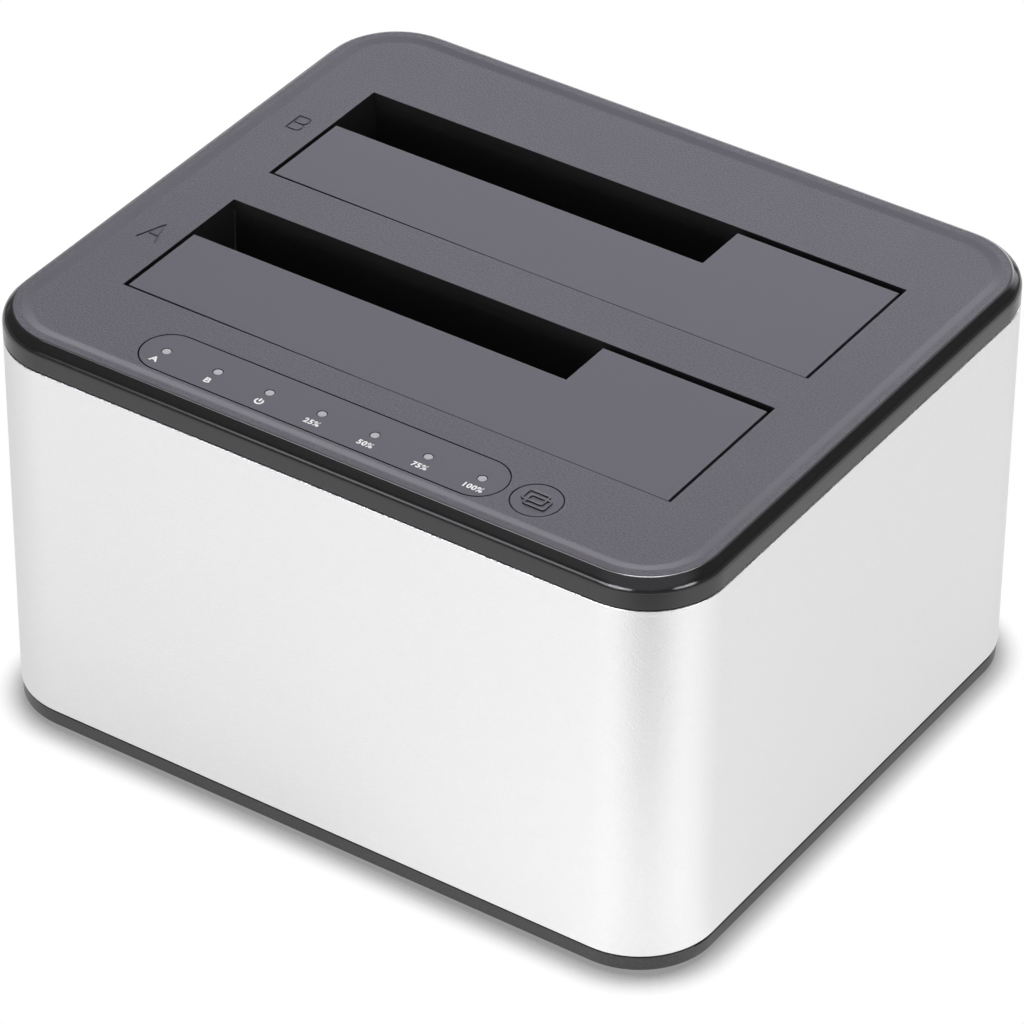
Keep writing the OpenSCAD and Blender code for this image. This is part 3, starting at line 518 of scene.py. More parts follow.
class Finishes:
    """The finishes of the docking station."""

    SLEEVE = MetalFinish(
        "satin_sleeve", (0.925, 0.92, 0.922), (0.945, 0.94, 0.942),
        roughness=0.33, gloss_spread=0.02, grain_mm=0.34, grain_depth_mm=0.09, grain_strength=1.0)
    PANEL = PlasticFinish(
        "grained_panel", (0.022, 0.0205, 0.028), (0.063, 0.059, 0.075),
        roughness=0.50, gloss_spread=0.02, grain_mm=0.34, grain_depth_mm=0.03, grain_strength=1.0)
    RIM = PlasticFinish(
        "satin_rim", (0.038, 0.034, 0.046), (0.046, 0.042, 0.055),
        roughness=0.36, gloss_spread=0.02, grain_mm=0.30, grain_depth_mm=0.010, grain_strength=0.3)
    EDGE = PlasticFinish(
        "polished_edge", (0.027, 0.027, 0.028), (0.032, 0.032, 0.033),
        roughness=0.13, gloss_spread=0.02, grain_mm=0.6, grain_depth_mm=0.003,
        grain_strength=0.1, ior=1.58)
    FLAP = PlasticFinish(
        "satin_flap", (0.042, 0.039, 0.052), (0.049, 0.046, 0.060),
        roughness=0.45, gloss_spread=0.02, grain_mm=0.24, grain_depth_mm=0.010, grain_strength=0.4)
    # Lighter than the button's own plastic: painted highlight on the tops of the sign's strokes.
    SIGN_PAINTED_HIGHLIGHT = PlasticFinish(
        "raised_sign_painted_highlight", (0.075, 0.072, 0.085), (0.085, 0.082, 0.096),
        roughness=0.24, gloss_spread=0.02, grain_mm=0.30, grain_depth_mm=0.004, grain_strength=0.2)
    BASE = PlasticFinish(
        "base_grey", (0.064, 0.063, 0.062), (0.100, 0.099, 0.098),
        roughness=0.42, gloss_spread=0.04, grain_mm=0.45, grain_depth_mm=0.03, grain_strength=0.7)
    WELL = PlasticFinish(
        "well_black", (0.010, 0.010, 0.010), (0.016, 0.016, 0.016),
        roughness=0.5, gloss_spread=0.05, grain_mm=0.5, grain_depth_mm=0.02, grain_strength=0.4)
    # Near black with little gloss: painted shade on the sides of the light strip, its pocket and the sign's
    # strokes, and on a band of the base under the sleeve.
    PAINTED_SHADE = PlasticFinish(
        "painted_shade_black", (0.004, 0.004, 0.004), (0.007, 0.007, 0.007),
        roughness=0.7, gloss_spread=0.05, grain_mm=0.4, grain_depth_mm=0.01,
        grain_strength=0.3, ior=1.5, specular=0.1)
    CONNECTOR = PlasticFinish(
        "connector_black", (0.010, 0.010, 0.011), (0.018, 0.018, 0.019),
        roughness=0.42, gloss_spread=0.05, grain_mm=0.4, grain_depth_mm=0.01, grain_strength=0.3)
    CHIP = PlasticFinish(
        "chip_epoxy", (0.012, 0.012, 0.013), (0.022, 0.022, 0.023),
        roughness=0.6, gloss_spread=0.05, grain_mm=0.25, grain_depth_mm=0.015, grain_strength=0.4)
    FERRITE = PlasticFinish(
        "coil_ferrite", (0.035, 0.035, 0.038), (0.055, 0.055, 0.058),
        roughness=0.65, gloss_spread=0.05, grain_mm=0.3, grain_depth_mm=0.02, grain_strength=0.5)
    BLUE = PlasticFinish(
        "socket_blue", (0.018, 0.060, 0.30), (0.024, 0.075, 0.36),
        roughness=0.4, gloss_spread=0.04, grain_mm=0.4, grain_depth_mm=0.01, grain_strength=0.3)
    HEADER = PlasticFinish(
        "header_cream", (0.66, 0.62, 0.52), (0.74, 0.70, 0.60),
        roughness=0.45, gloss_spread=0.04, grain_mm=0.4, grain_depth_mm=0.01, grain_strength=0.3)
    CABLE = PlasticFinish(
        "cable_grey", (0.22, 0.22, 0.23), (0.28, 0.28, 0.29),
        roughness=0.5, gloss_spread=0.05, grain_mm=0.5, grain_depth_mm=0.01, grain_strength=0.3)
    LEAD = PlasticFinish(
        "lead_red", (0.32, 0.02, 0.015), (0.40, 0.03, 0.02),
        roughness=0.4, gloss_spread=0.05, grain_mm=0.5, grain_depth_mm=0.01, grain_strength=0.3)
    RUBBER = PlasticFinish(
        "foot_rubber", (0.014, 0.014, 0.014), (0.024, 0.024, 0.024),
        roughness=0.75, gloss_spread=0.06, grain_mm=0.35, grain_depth_mm=0.03, grain_strength=0.6)
    LENS = PlasticFinish(
        "milky_lens", (0.42, 0.42, 0.45), (0.50, 0.50, 0.53),
        roughness=0.3, gloss_spread=0.03, grain_mm=0.5, grain_depth_mm=0.004, grain_strength=0.2)
    LAMP = PlasticFinish(
        "lamp_white", (0.75, 0.75, 0.72), (0.82, 0.82, 0.80),
        roughness=0.35, gloss_spread=0.04, grain_mm=0.4, grain_depth_mm=0.006, grain_strength=0.2)
    INK = PlasticFinish(
        "white_ink", (0.90, 0.90, 0.90), (0.96, 0.96, 0.96),
        roughness=0.55, gloss_spread=0.03, grain_mm=0.2, grain_depth_mm=0.004, grain_strength=0.2)
    STEEL = MetalFinish(
        "plated_steel", (0.50, 0.51, 0.52), (0.62, 0.63, 0.64),
        roughness=0.28, gloss_spread=0.06, grain_mm=0.5, grain_depth_mm=0.006, grain_strength=0.3)
    CAN = MetalFinish(
        "drawn_can", (0.60, 0.61, 0.63), (0.72, 0.73, 0.75),
        roughness=0.3, gloss_spread=0.05, grain_mm=0.4, grain_depth_mm=0.006, grain_strength=0.3)
    GOLD = MetalFinish(
        "gold_contact", (0.80, 0.56, 0.22), (0.90, 0.66, 0.30),
        roughness=0.25, gloss_spread=0.04, grain_mm=0.4, grain_depth_mm=0.003, grain_strength=0.2)
    BOARD = BoardFinish("board_green", (0.008, 0.075, 0.034), (0.02, 0.13, 0.06))


@dataclass(frozen=True)
class Winding:
    """Stretch of a spring over which it turns from one body's pose to another's."""

    first: Body
    start_mm: tuple[float, float, float]
    end_mm: tuple[float, float, float]


class Bench:
    """Turns a bmesh into a finished piece that rides on a body."""

    @staticmethod
    def from_node(node: str) -> bmesh.types.BMesh:
        """Takes a copy of a CAD node as one clean mesh.

        Args:
            node: Name of the node.

        Returns:
            The merged mesh, with its flat faces joined.
        """
        bm = bmesh.new()
        bm.from_mesh(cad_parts[node].data)
        bmesh.ops.remove_doubles(bm, verts=bm.verts, dist=4e-6)
        bmesh.ops.dissolve_limit(bm, angle_limit=math.radians(0.1), use_dissolve_boundaries=False,
                                 verts=bm.verts, edges=bm.edges)
        return bm

    @staticmethod
    def soften(bm: bmesh.types.BMesh, width_mm: float, segments: int, chosen: EdgeTest,
               clamp: bool = True) -> None:
        """Rounds the edges that a test picks.

        Args:
            bm: The mesh.
            width_mm: Width of the rounding to each side of an edge.
            segments: Steps across the rounding.
            chosen: Test of one edge.
            clamp: Hold the width back where edges are short.
        """
        bm.normal_update()
        edges = [e for e in bm.edges if len(e.link_faces) == 2 and chosen(e)]
        if edges:
            bmesh.ops.bevel(bm, geom=edges, offset=width_mm * MM, offset_type="OFFSET", segments=segments,
                            profile=0.5, affect="EDGES", material=-1, clamp_overlap=clamp, loop_slide=True)

    @staticmethod
    def sharp(limit_deg: float = 30.0) -> EdgeTest:
        """Gives a test for outward edges past an angle.

        Args:
            limit_deg: Least angle between the two faces.

        Returns:
            The test.
        """
        limit = math.radians(limit_deg)
        return lambda e: e.calc_face_angle_signed(0.0) > limit

    @staticmethod
    def piece(name: str, bm: bmesh.types.BMesh, finishes: Sequence[Finish], body: Body,
              slot: Slot | None = None, stands_for: Sequence[str] = (), smooth_deg: float = 32.0,
              winding: Winding | None = None) -> bpy.types.Object:
        """Makes the object of a piece.

        Args:
            name: Name of the piece.
            bm: Its mesh, which is used up.
            finishes: Its finishes, in the order of its material indices.
            body: Body that it rides on.
            slot: Material slot of the record, if one fits; not used.
            stands_for: CAD nodes that it replaces.
            smooth_deg: Edges past this angle stay sharp.
            winding: Where a spring turns from another body to this one.

        Returns:
            The object.
        """
        mesh = bpy.data.meshes.new(name)
        for face in bm.faces:
            face.smooth = True
        bm.to_mesh(mesh)
        bm.free()
        mesh.set_sharp_from_angle(angle=math.radians(smooth_deg))
        for finish in finishes:
            mesh.materials.append(finish.material())
        obj = bpy.data.objects.new(name, mesh)
        bpy.context.scene.collection.objects.link(obj)
        even = obj.modifiers.new("even_normals", "WEIGHTED_NORMAL")
        even.keep_sharp = True
        even.weight = 100
        if winding:
            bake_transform(obj)
        else:
            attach(obj, body.value)
        if stands_for:
            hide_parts(*stands_for)
        LOG.info("%s: %d faces on %s", name, len(mesh.polygons), body.value)
        return obj

    @staticmethod
    def box(bm: bmesh.types.BMesh, low: Sequence[float], high: Sequence[float]) -> list[bmesh.types.BMVert]:
        """Adds a box between two corners.

        Args:
            bm: Mesh to add to.
            low: Lowest corner in millimetres.
            high: Highest corner in millimetres.

        Returns:
            The new vertices.
        """
        made = bmesh.ops.create_cube(bm, size=1.0)["verts"]
        size = [(b - a) * MM for a, b in zip(low, high)]
        centre = [(a + b) / 2 * MM for a, b in zip(low, high)]
        bmesh.ops.scale(bm, vec=size, verts=made)
        bmesh.ops.translate(bm, vec=centre, verts=made)
        return made

    @staticmethod
    def shade_sides(bm: bmesh.types.BMesh, top_mm: float, index: int) -> None:
        """Gives a second finish, which is painted shade, to all that lies under the top face.

        Args:
            bm: The mesh.
            top_mm: Height of the top face in millimetres.
            index: Material index of what lies lower.
        """
        for face in bm.faces:
            if face.calc_center_median().z / MM < top_mm - Slack.FACE:
                face.material_index = index

    @staticmethod
    def raise_up(bm: bmesh.types.BMesh, faces: Sequence[bmesh.types.BMFace], height_mm: float) -> None:
        """Turns flat faces into a closed solid of even height.

        Args:
            bm: The mesh.
            faces: Flat faces that become the underside.
            height_mm: Height of the solid in millimetres.
        """
        made = bmesh.ops.extrude_face_region(bm, geom=list(faces), use_keep_orig=True)["geom"]
        top = [v for v in made if isinstance(v, bmesh.types.BMVert)]
        bmesh.ops.translate(bm, vec=(0.0, 0.0, height_mm * MM), verts=top)
        bmesh.ops.recalc_face_normals(bm, faces=bm.faces)

    @staticmethod
    def lettering(text: str, height: float, stretch: float, weight: float,
                  thickness: float) -> bpy.types.Mesh:
        """Makes flat lettering round the origin, reading along +X.

        Args:
            text: The letters.
            height: Height of a capital in millimetres.
            stretch: Width of the letters against the plain font.
            weight: How far the strokes are thickened, in millimetres.
            thickness: Thickness of the letters in millimetres.

        Returns:
            The mesh.
        """
        curve = bpy.data.curves.new("lettering", "FONT")
        curve.body = text
        curve.align_x, curve.align_y = "CENTER", "CENTER"
        curve.size = height / 0.7 * MM
        curve.offset = weight * MM
        curve.extrude = thickness / 2 * MM
        curve.space_character = 1.1
        curve.resolution_u = 4
        holder = bpy.data.objects.new("lettering", curve)
        bpy.context.scene.collection.objects.link(holder)
        bpy.context.view_layer.update()
        graph = bpy.context.evaluated_depsgraph_get()
        mesh = bpy.data.meshes.new_from_object(holder.evaluated_get(graph))
        bpy.data.objects.remove(holder)
        bpy.data.curves.remove(curve)
        mesh.transform(Matrix.Diagonal((stretch, 1.0, 1.0, 1.0)))
        return mesh


@dataclass
class Housing:
    """Sleeve, cover and base with what holds them together."""

    body_edge: float = 0.12
    band_round: float = 0.9
    rim_edge: float = 0.3
    base_edge: float = 0.05
    # Band of the base's outer wall just under the sleeve that gets painted shade, reaching lower at the right
    # side.
    shade_band_low: float = 3.92
    right_shade_band_low: float = 3.68
    shade_band_high: float = 4.35
    shade_band_in: float = 1.2
    dish_round: float = 0.25
    mouth_edge: float = 0.02
    pocket_edge: float = 0.08
    pocket_reach: float = 6.0
    letter_edge: float = 0.1
    letter_x: float = -56.7
    letter_reach: float = 3.6
    letter_cut: float = 0.25
    letter_show: float = 0.17
    letter_grow: tuple[float, float] = (1.0, 0.82)
    # Depth in past the dish beyond which faces at the light strip's pocket get painted shade.
    pocket_clear: float = 0.3
    dish_shown: float = 0.6
    # Depth under the panel past which the cover's faces get painted shade.
    recess_shade_depth: float = 0.4
    small_edge: float = 0.15

    def build(self) -> None:
        """Builds and dresses the housing."""
        self.cover()
        self.sleeve()
        self.base()

    def sleeve(self) -> None:
        """Metal sleeve with its eased ends and port window."""
        bm = Bench.from_node("sleeve")
        Bench.soften(bm, self.body_edge, 2, Bench.sharp(30))
        Bench.piece("sleeve_shell", bm, [Finishes.SLEEVE], Body.HOUSING, Slot.SLEEVE, ["sleeve"], 25.0)

    def cover(self) -> None:
        """Top cover: upright band, polished edge, rim, dished panel and mouths."""
        bm = Bench.from_node("top_cover")
        s = SIZES
        rim_in, dish_in = s.edge_in + s.rim_w, s.edge_in + s.rim_w + s.dish_w
        self._ease_letters(bm)
        Bench.soften(bm, self.letter_edge, 2, self._letter_edge, False)
        Bench.soften(bm, self.pocket_edge, 2, self._pocket_edge, False)
        Bench.soften(bm, self.mouth_edge, 2, self._level_edge(s.panel_z, None), False)
        Bench.soften(bm, self.dish_round, 3, self._level_edge(s.panel_z, dish_in))
        Bench.soften(bm, self.dish_round, 3, self._level_edge(s.rim_z, rim_in))
        Bench.soften(bm, self.rim_edge, 3, self._level_edge(s.rim_z, s.edge_in))
        Bench.soften(bm, self.band_round, 6, self._level_edge(s.cover_z + s.band_h, 0.0))
        Bench.soften(bm, self.body_edge, 2, self._level_edge(s.cover_z + s.shadow_h, 0.0))
        finishes = [Finishes.PANEL, Finishes.EDGE, Finishes.RIM, Finishes.WELL, Finishes.PAINTED_SHADE]
        for face in bm.faces:
            face.material_index = finishes.index(self._cover_finish(face.calc_center_median() / MM))
        Bench.piece("cover_shell", bm, finishes, Body.HOUSING, Slot.COVER, ["top_cover"], 25.0)

    def _cover_finish(self, place: Vector) -> PlasticFinish:
        """Picks the finish of the cover at a place.

        Args:
            place: Middle of a face in millimetres.

        Returns:
            The finish.
        """
        s = SIZES
        dish_in = s.edge_in + s.rim_w + s.dish_w
        depth = s.inset(place.x, place.y)
        in_pocket = self._in_pocket(place) and depth > dish_in + self.pocket_clear
        # Painted shade on the sides of the light strip's pocket.
        if in_pocket and place.z < s.panel_z - Slack.FACE:
            return Finishes.PAINTED_SHADE
        if depth < s.edge_in + self.rim_edge and place.z > s.cover_z:
            return Finishes.EDGE
        if depth < dish_in - self.dish_shown and place.z > s.panel_z:
            return Finishes.RIM
        # Faces lying deeper under the panel take the near-black well finish: painted shade in the mouths and
        # under the panel.
        return Finishes.WELL if place.z < s.panel_z - self.recess_shade_depth else Finishes.PANEL

    def _ease_letters(self, bm: bmesh.types.BMesh) -> None:
        """Makes the grooves of the letters shallow, and the letter at the back smaller.

        Args:
            bm: Mesh of the cover.
        """
        for side, grow in zip((-1, 1), self.letter_grow):
            centre = Vector((self.letter_x, side * SIZES.bay_pitch / 2, 0.0)) * MM
            low = (SIZES.panel_z - self.letter_cut - Slack.LEVEL) * MM
            reach = self.letter_reach * MM
            near = [v for v in bm.verts if v.co.z > low and (v.co - centre).xy.length < reach]
            sized = Matrix.Diagonal((grow, grow, 1.0, 1.0))
            sized = Matrix.Translation(centre) @ sized @ Matrix.Translation(-centre)
            bmesh.ops.transform(bm, matrix=sized, verts=near)
            floor = [v for v in near if v.co.z < (SIZES.panel_z - self.letter_show) * MM]
            bmesh.ops.translate(bm, vec=(0.0, 0.0, (self.letter_cut - self.letter_show) * MM), verts=floor)

    def _in_pocket(self, place: Vector) -> bool:
        """Whether a place in millimetres lies at the light strip's pocket, seen from above."""
        reach = self.pocket_reach
        return place.x < SIZES.button_x - reach and abs(place.y - SIZES.row_y) < reach

    def _pocket_edge(self, edge: bmesh.types.BMEdge) -> bool:
        """Whether an edge lies round the mouth of the light strip's pocket."""
        level = self._level_edge(SIZES.panel_z, None)(edge)
        return level and all(self._in_pocket(v.co / MM) for v in edge.verts)

    @staticmethod
    def _letter_edge(edge: bmesh.types.BMEdge) -> bool:
        """Whether an edge lies round a letter's groove, left of the mouths."""
        level = all(abs(v.co.z / MM - SIZES.panel_z) < Slack.LEVEL for v in edge.verts)
        left = all(v.co.x / MM < -SIZES.slot_l / 2 - Slack.SIDE for v in edge.verts)
        return level and left and edge.calc_face_angle_signed(0.0) > Slack.SQUARE

    @staticmethod
    def _level_edge(level: float, inset: float | None) -> EdgeTest:
        """Gives a test for edges at one height and depth in from the outline.

        Args:
            level: Height in millimetres.
            inset: Depth in from the outline, or None for sharp edges well inside.

        Returns:
            The test.
        """
        def chosen(edge: bmesh.types.BMEdge) -> bool:
            places = [v.co / MM for v in edge.verts]
            if any(abs(p.z - level) > Slack.LEVEL for p in places):
                return False
            depths = [SIZES.inset(p.x, p.y) for p in places]
            if inset is None:
                square = edge.calc_face_angle_signed(0.0) > Slack.SQUARE
                return min(depths) > Slack.WELL_INSIDE and square
            on_line = all(abs(d - inset) < Slack.OUTLINE for d in depths)
            return on_line and edge.calc_face_angle(0.0) > Slack.BEND
        return chosen

    def base(self) -> None:
        """Base tray with its vents, feet and screws, and a band of painted shade under the sleeve."""
        bm = Bench.from_node("base_tray")
        Bench.soften(bm, self.base_edge, 2, Bench.sharp(40))
        # The right side is cut lower, so that its band of painted shade reaches further down.
        side = [f for f in bm.faces if self._on_right(f)]
        geom = list({g for f in side for g in (*f.verts, *f.edges, f)})
        bmesh.ops.bisect_plane(bm, geom=geom, plane_co=(0, 0, self.right_shade_band_low * MM), plane_no=(0, 0, 1))
        # Faces in the band just under the sleeve get painted shade.
        for face in bm.faces:
            centre = face.calc_center_median() / MM
            low = self.right_shade_band_low if self._on_right(face) else self.shade_band_low
            if low < centre.z < self.shade_band_high and SIZES.inset(centre.x, centre.y) < self.shade_band_in:
                face.material_index = 1
        Bench.piece("base_shell", bm, [Finishes.BASE, Finishes.PAINTED_SHADE], Body.HOUSING, Slot.BASE, ["base_tray"])
        for name, node, finish, slot, limit_deg in (
            ("feet", "rubber_feet", Finishes.RUBBER, Slot.RUBBER, 30),
            ("base_screw_set", "base_screws", Finishes.STEEL, Slot.STEEL, 60),
        ):
            bm = Bench.from_node(node)
            Bench.soften(bm, self.small_edge, 2, Bench.sharp(limit_deg))
            Bench.piece(name, bm, [finish], Body.HOUSING, slot, [node])

    @staticmethod
    def _on_right(face: bmesh.types.BMFace) -> bool:
        """Whether a face looks out to the right and lies at the base's right side."""
        side_x = SIZES.body_w / 2 - Slack.SIDE
        return face.normal.x > Slack.FACING and face.calc_center_median().x / MM > side_x


@dataclass
class DriveBay:
    """One bay: well, flap with its spring, and drive connector with its contacts."""

    letter: str
    centre_y: float
    flap_body: Body
    well_round: float = 0.5
    flap_edge: float = 0.06
    front_gap: float = 0.15
    gap_narrowed: float = 0.05
    gap_widened: float = 0.33
    wide_until: float = -5.0
    end_gap_widened: float = 0.25
    hinge_from_mouth: float = -0.35
    hinge_z: float = 73.45
    spring_x: tuple[float, float] = (-49.55, -44.55)
    sata_x: float = -28.5
    sata_from_back: float = 4.5
    sata_top: float = 22.4
    connector_edge: float = 0.15
    # Start of each row from the middle of the connector, and number of contacts.
    contact_rows: tuple[tuple[float, int], ...] = ((-17.4, 7), (-4.0, 15))
    contact_first: float = 2.2
    contact_pitch: float = 1.27
    contact_half: float = 0.3
    contact_y: tuple[float, float] = (0.72, 0.42)
    contact_z: tuple[float, float] = (4.8, 0.8)
    contact_edge: float = 0.08

    def build(self) -> None:
        """Builds and dresses the bay."""
        key = self.letter.lower()
        bm = Bench.from_node(f"drive_well_{key}")
        Bench.soften(bm, self.well_round, 3, self._well_corner)
        Bench.piece(f"bay_{key}_well", bm, [Finishes.WELL], Body.HOUSING, Slot.BLACK, [f"drive_well_{key}"])
        bm = Bench.from_node(f"flap_{key}")
        self._ease_gaps(bm)
        Bench.soften(bm, self.flap_edge, 3, self._plate_edge)
        Bench.piece(f"bay_{key}_flap", bm, [Finishes.FLAP], self.flap_body, Slot.FLAP, [f"flap_{key}"])
        bm = Bench.from_node(f"sata_connector_{key}")
        Bench.soften(bm, self.connector_edge, 2, Bench.sharp(60))
        Bench.piece(f"bay_{key}_connector", bm, [Finishes.CONNECTOR], Body.HOUSING, Slot.CONNECTOR,
                    [f"sata_connector_{key}"])
        self.contacts(key)
        self.spring(key)

    def spring(self, key: str) -> None:
        """Torsion spring at the flap's hinge.

        Args:
            key: Letter of the bay in lower case.
        """
        hinge_y = self.centre_y - SIZES.slot_w / 2 + self.hinge_from_mouth
        start, end = ((x, hinge_y, self.hinge_z) for x in self.spring_x)
        bm = Bench.from_node(f"flap_spring_{key}")
        Bench.piece(f"bay_{key}_spring", bm, [Finishes.STEEL], Body.HOUSING, Slot.STEEL,
                    [f"flap_spring_{key}"], winding=Winding(self.flap_body, start, end))

    def _ease_gaps(self, bm: bmesh.types.BMesh) -> None:
        """Sets the flap a little askew in its mouth: wide gaps at the left, a narrow one at the front right.

        Args:
            bm: Mesh of the flap.
        """
        end = self.wide_until * MM
        bmesh.ops.bisect_plane(bm, geom=bm.verts[:] + bm.edges[:] + bm.faces[:], plane_co=(end, 0, 0),
                               plane_no=(1, 0, 0))
        left = min(v.co.x for v in bm.verts)
        edge_y = (self.centre_y - SIZES.slot_w / 2 + self.front_gap) * MM
        front = [v for v in bm.verts if abs(v.co.y - edge_y) < Slack.FRONT * MM]
        bmesh.ops.translate(bm, vec=(0.0, -self.gap_narrowed * MM, 0.0), verts=front)
        lean = Matrix.Identity(4)
        lean[1][0] = -self.gap_widened * MM / (end - left)
        lean[1][3] = -lean[1][0] * end
        bmesh.ops.transform(bm, matrix=lean, verts=[v for v in front if v.co.x < end])
        side = [v for v in bm.verts if v.co.x < left + Slack.FRONT * MM]
        bmesh.ops.translate(bm, vec=(self.end_gap_widened * MM, 0.0, 0.0), verts=side)

    @staticmethod
    def _well_corner(edge: bmesh.types.BMEdge) -> bool:
        """Whether an edge is an upright inner corner of the well."""
        run = (edge.verts[0].co - edge.verts[1].co).normalized()
        upright = abs(run.z) > Slack.UPRIGHT and edge.calc_length() > Slack.LONG * MM
        return upright and edge.calc_face_angle_signed(0.0) < -Slack.SQUARE

    @staticmethod
    def _plate_edge(edge: bmesh.types.BMEdge) -> bool:
        """Whether an edge lies round the top of the flap's plate."""
        top = all(abs(v.co.z / MM - SIZES.panel_z) < Slack.LEVEL for v in edge.verts)
        return top and edge.calc_face_angle_signed(0.0) > Slack.SQUARE

    def contacts(self, key: str) -> None:
        """Rows of sprung contacts in the slits of the drive connector.

        Args:
            key: Letter of the bay in lower case.
        """
        bm = bmesh.new()
        y = self.centre_y + SIZES.slot_w / 2 - self.sata_from_back
        front, back = (y - v for v in self.contact_y)
        low, high = (self.sata_top - v for v in self.contact_z)
        for start, count in self.contact_rows:
            for i in range(count):
                x = self.sata_x + start + self.contact_first + i * self.contact_pitch
                Bench.box(bm, (x - self.contact_half, front, low), (x + self.contact_half, back, high))
        Bench.soften(bm, self.contact_edge, 1, Bench.sharp(60))
        Bench.piece(f"bay_{key}_contacts", bm, [Finishes.GOLD], Body.HOUSING)


@dataclass
class IndicatorStrip:
    """Light panel with its lamps' windows and white lettering."""

    labels: tuple[tuple[str, float], ...] = (
        ("A", -0.4), ("B", -0.07), ("", -0.07),
        ("25%", -0.02), ("50%", 0.05), ("75%", 0.23), ("100%", 0.05))
    label_drop: float = -2.78
    letter_h: float = 1.25
    letter_stretch: float = 1.15
    word_h: float = 1.12
    word_stretch: float = 1.0
    weight: float = 0.055
    ink_t: float = 0.02
    sign_r: float = 0.65
    sign_line: float = 0.32
    sign_from: float = 130.0
    sign_turn: float = 280.0
    sign_steps: int = 20
    lens_edge: float = 0.12
    edge: float = 0.08

    def build(self) -> None:
        """Builds and dresses the strip."""
        bm = Bench.from_node("indicator_panel")
        Bench.soften(bm, self.edge, 2, Bench.sharp(60), False)
        # The strip's sides get painted shade, so that its outline shows dark.
        Bench.shade_sides(bm, SIZES.panel_z, 1)
        Bench.piece("light_strip", bm, [Finishes.FLAP, Finishes.PAINTED_SHADE], Body.HOUSING, Slot.FLAP,
                    ["indicator_panel"])
        bm = Bench.from_node("light_pipe")
        Bench.soften(bm, self.lens_edge, 2, Bench.sharp(60))
        Bench.piece("light_windows", bm, [Finishes.LENS], Body.HOUSING, Slot.CLEAR, ["light_pipe"])
        for i, (name, shift) in enumerate(self.labels):
            x = SIZES.led_x0 + i * SIZES.led_pitch + shift
            y = SIZES.row_y + self.label_drop
            if name:
                self.word(f"label_{i}", name, x, y)
            else:
                self.power_sign(f"label_{i}", x, y)

    def word(self, piece: str, text: str, x: float, y: float) -> None:
        """Prints one word.

        Args:
            piece: Name of the piece.
            text: The word.
            x: Middle of the word along X in millimetres.
            y: Middle of the word along Y in millimetres.
        """
        height, stretch = self.letter_h, self.letter_stretch
        if len(text) > 1:
            height, stretch = self.word_h, self.word_stretch
        mesh = Bench.lettering(text, height, stretch, self.weight, self.ink_t)
        mesh.transform(Matrix.Translation((x * MM, y * MM, SIZES.panel_z * MM)))
        bm = bmesh.new()
        bm.from_mesh(mesh)
        bpy.data.meshes.remove(mesh)
        bmesh.ops.remove_doubles(bm, verts=bm.verts, dist=1e-7)
        Bench.piece(piece, bm, [Finishes.INK], Body.HOUSING)

    def power_sign(self, piece: str, x: float, y: float) -> None:
        """Prints the open ring with a bar.

        Args:
            piece: Name of the piece.
            x: Middle of the sign along X in millimetres.
            y: Middle of the sign along Y in millimetres.
        """
        half = self.sign_line / 2
        low = SIZES.panel_z - self.ink_t / 2
        bm = bmesh.new()
        Bench.box(bm, (x - half, y, low), (x + half, y + self.sign_r + half, low + self.ink_t))
        start = bmesh.ops.create_grid(bm, x_segments=1, y_segments=1, size=half * MM)["verts"]
        bmesh.ops.scale(bm, vec=(1.0, self.ink_t / self.sign_line, 1.0), verts=start)
        bmesh.ops.rotate(bm, matrix=Matrix.Rotation(math.pi / 2, 3, "X"), verts=start)
        bmesh.ops.translate(bm, vec=(self.sign_r * MM, 0.0, 0.0), verts=start)
        bmesh.ops.rotate(bm, matrix=Matrix.Rotation(math.radians(self.sign_from), 3, "Z"), verts=start)
        bmesh.ops.translate(bm, vec=(x * MM, y * MM, SIZES.panel_z * MM), verts=start)
        edges = list({e for v in start for e in v.link_edges})
        faces = list({f for v in start for f in v.link_faces})
        bmesh.ops.spin(bm, geom=start + edges + faces, cent=(x * MM, y * MM, 0.0), axis=(0.0, 0.0, 1.0),
                       steps=self.sign_steps, angle=math.radians(self.sign_turn))
        bmesh.ops.holes_fill(bm, edges=[e for e in bm.edges if e.is_boundary], sides=4)
        bmesh.ops.recalc_face_normals(bm, faces=bm.faces)
        Bench.piece(piece, bm, [Finishes.INK], Body.HOUSING)


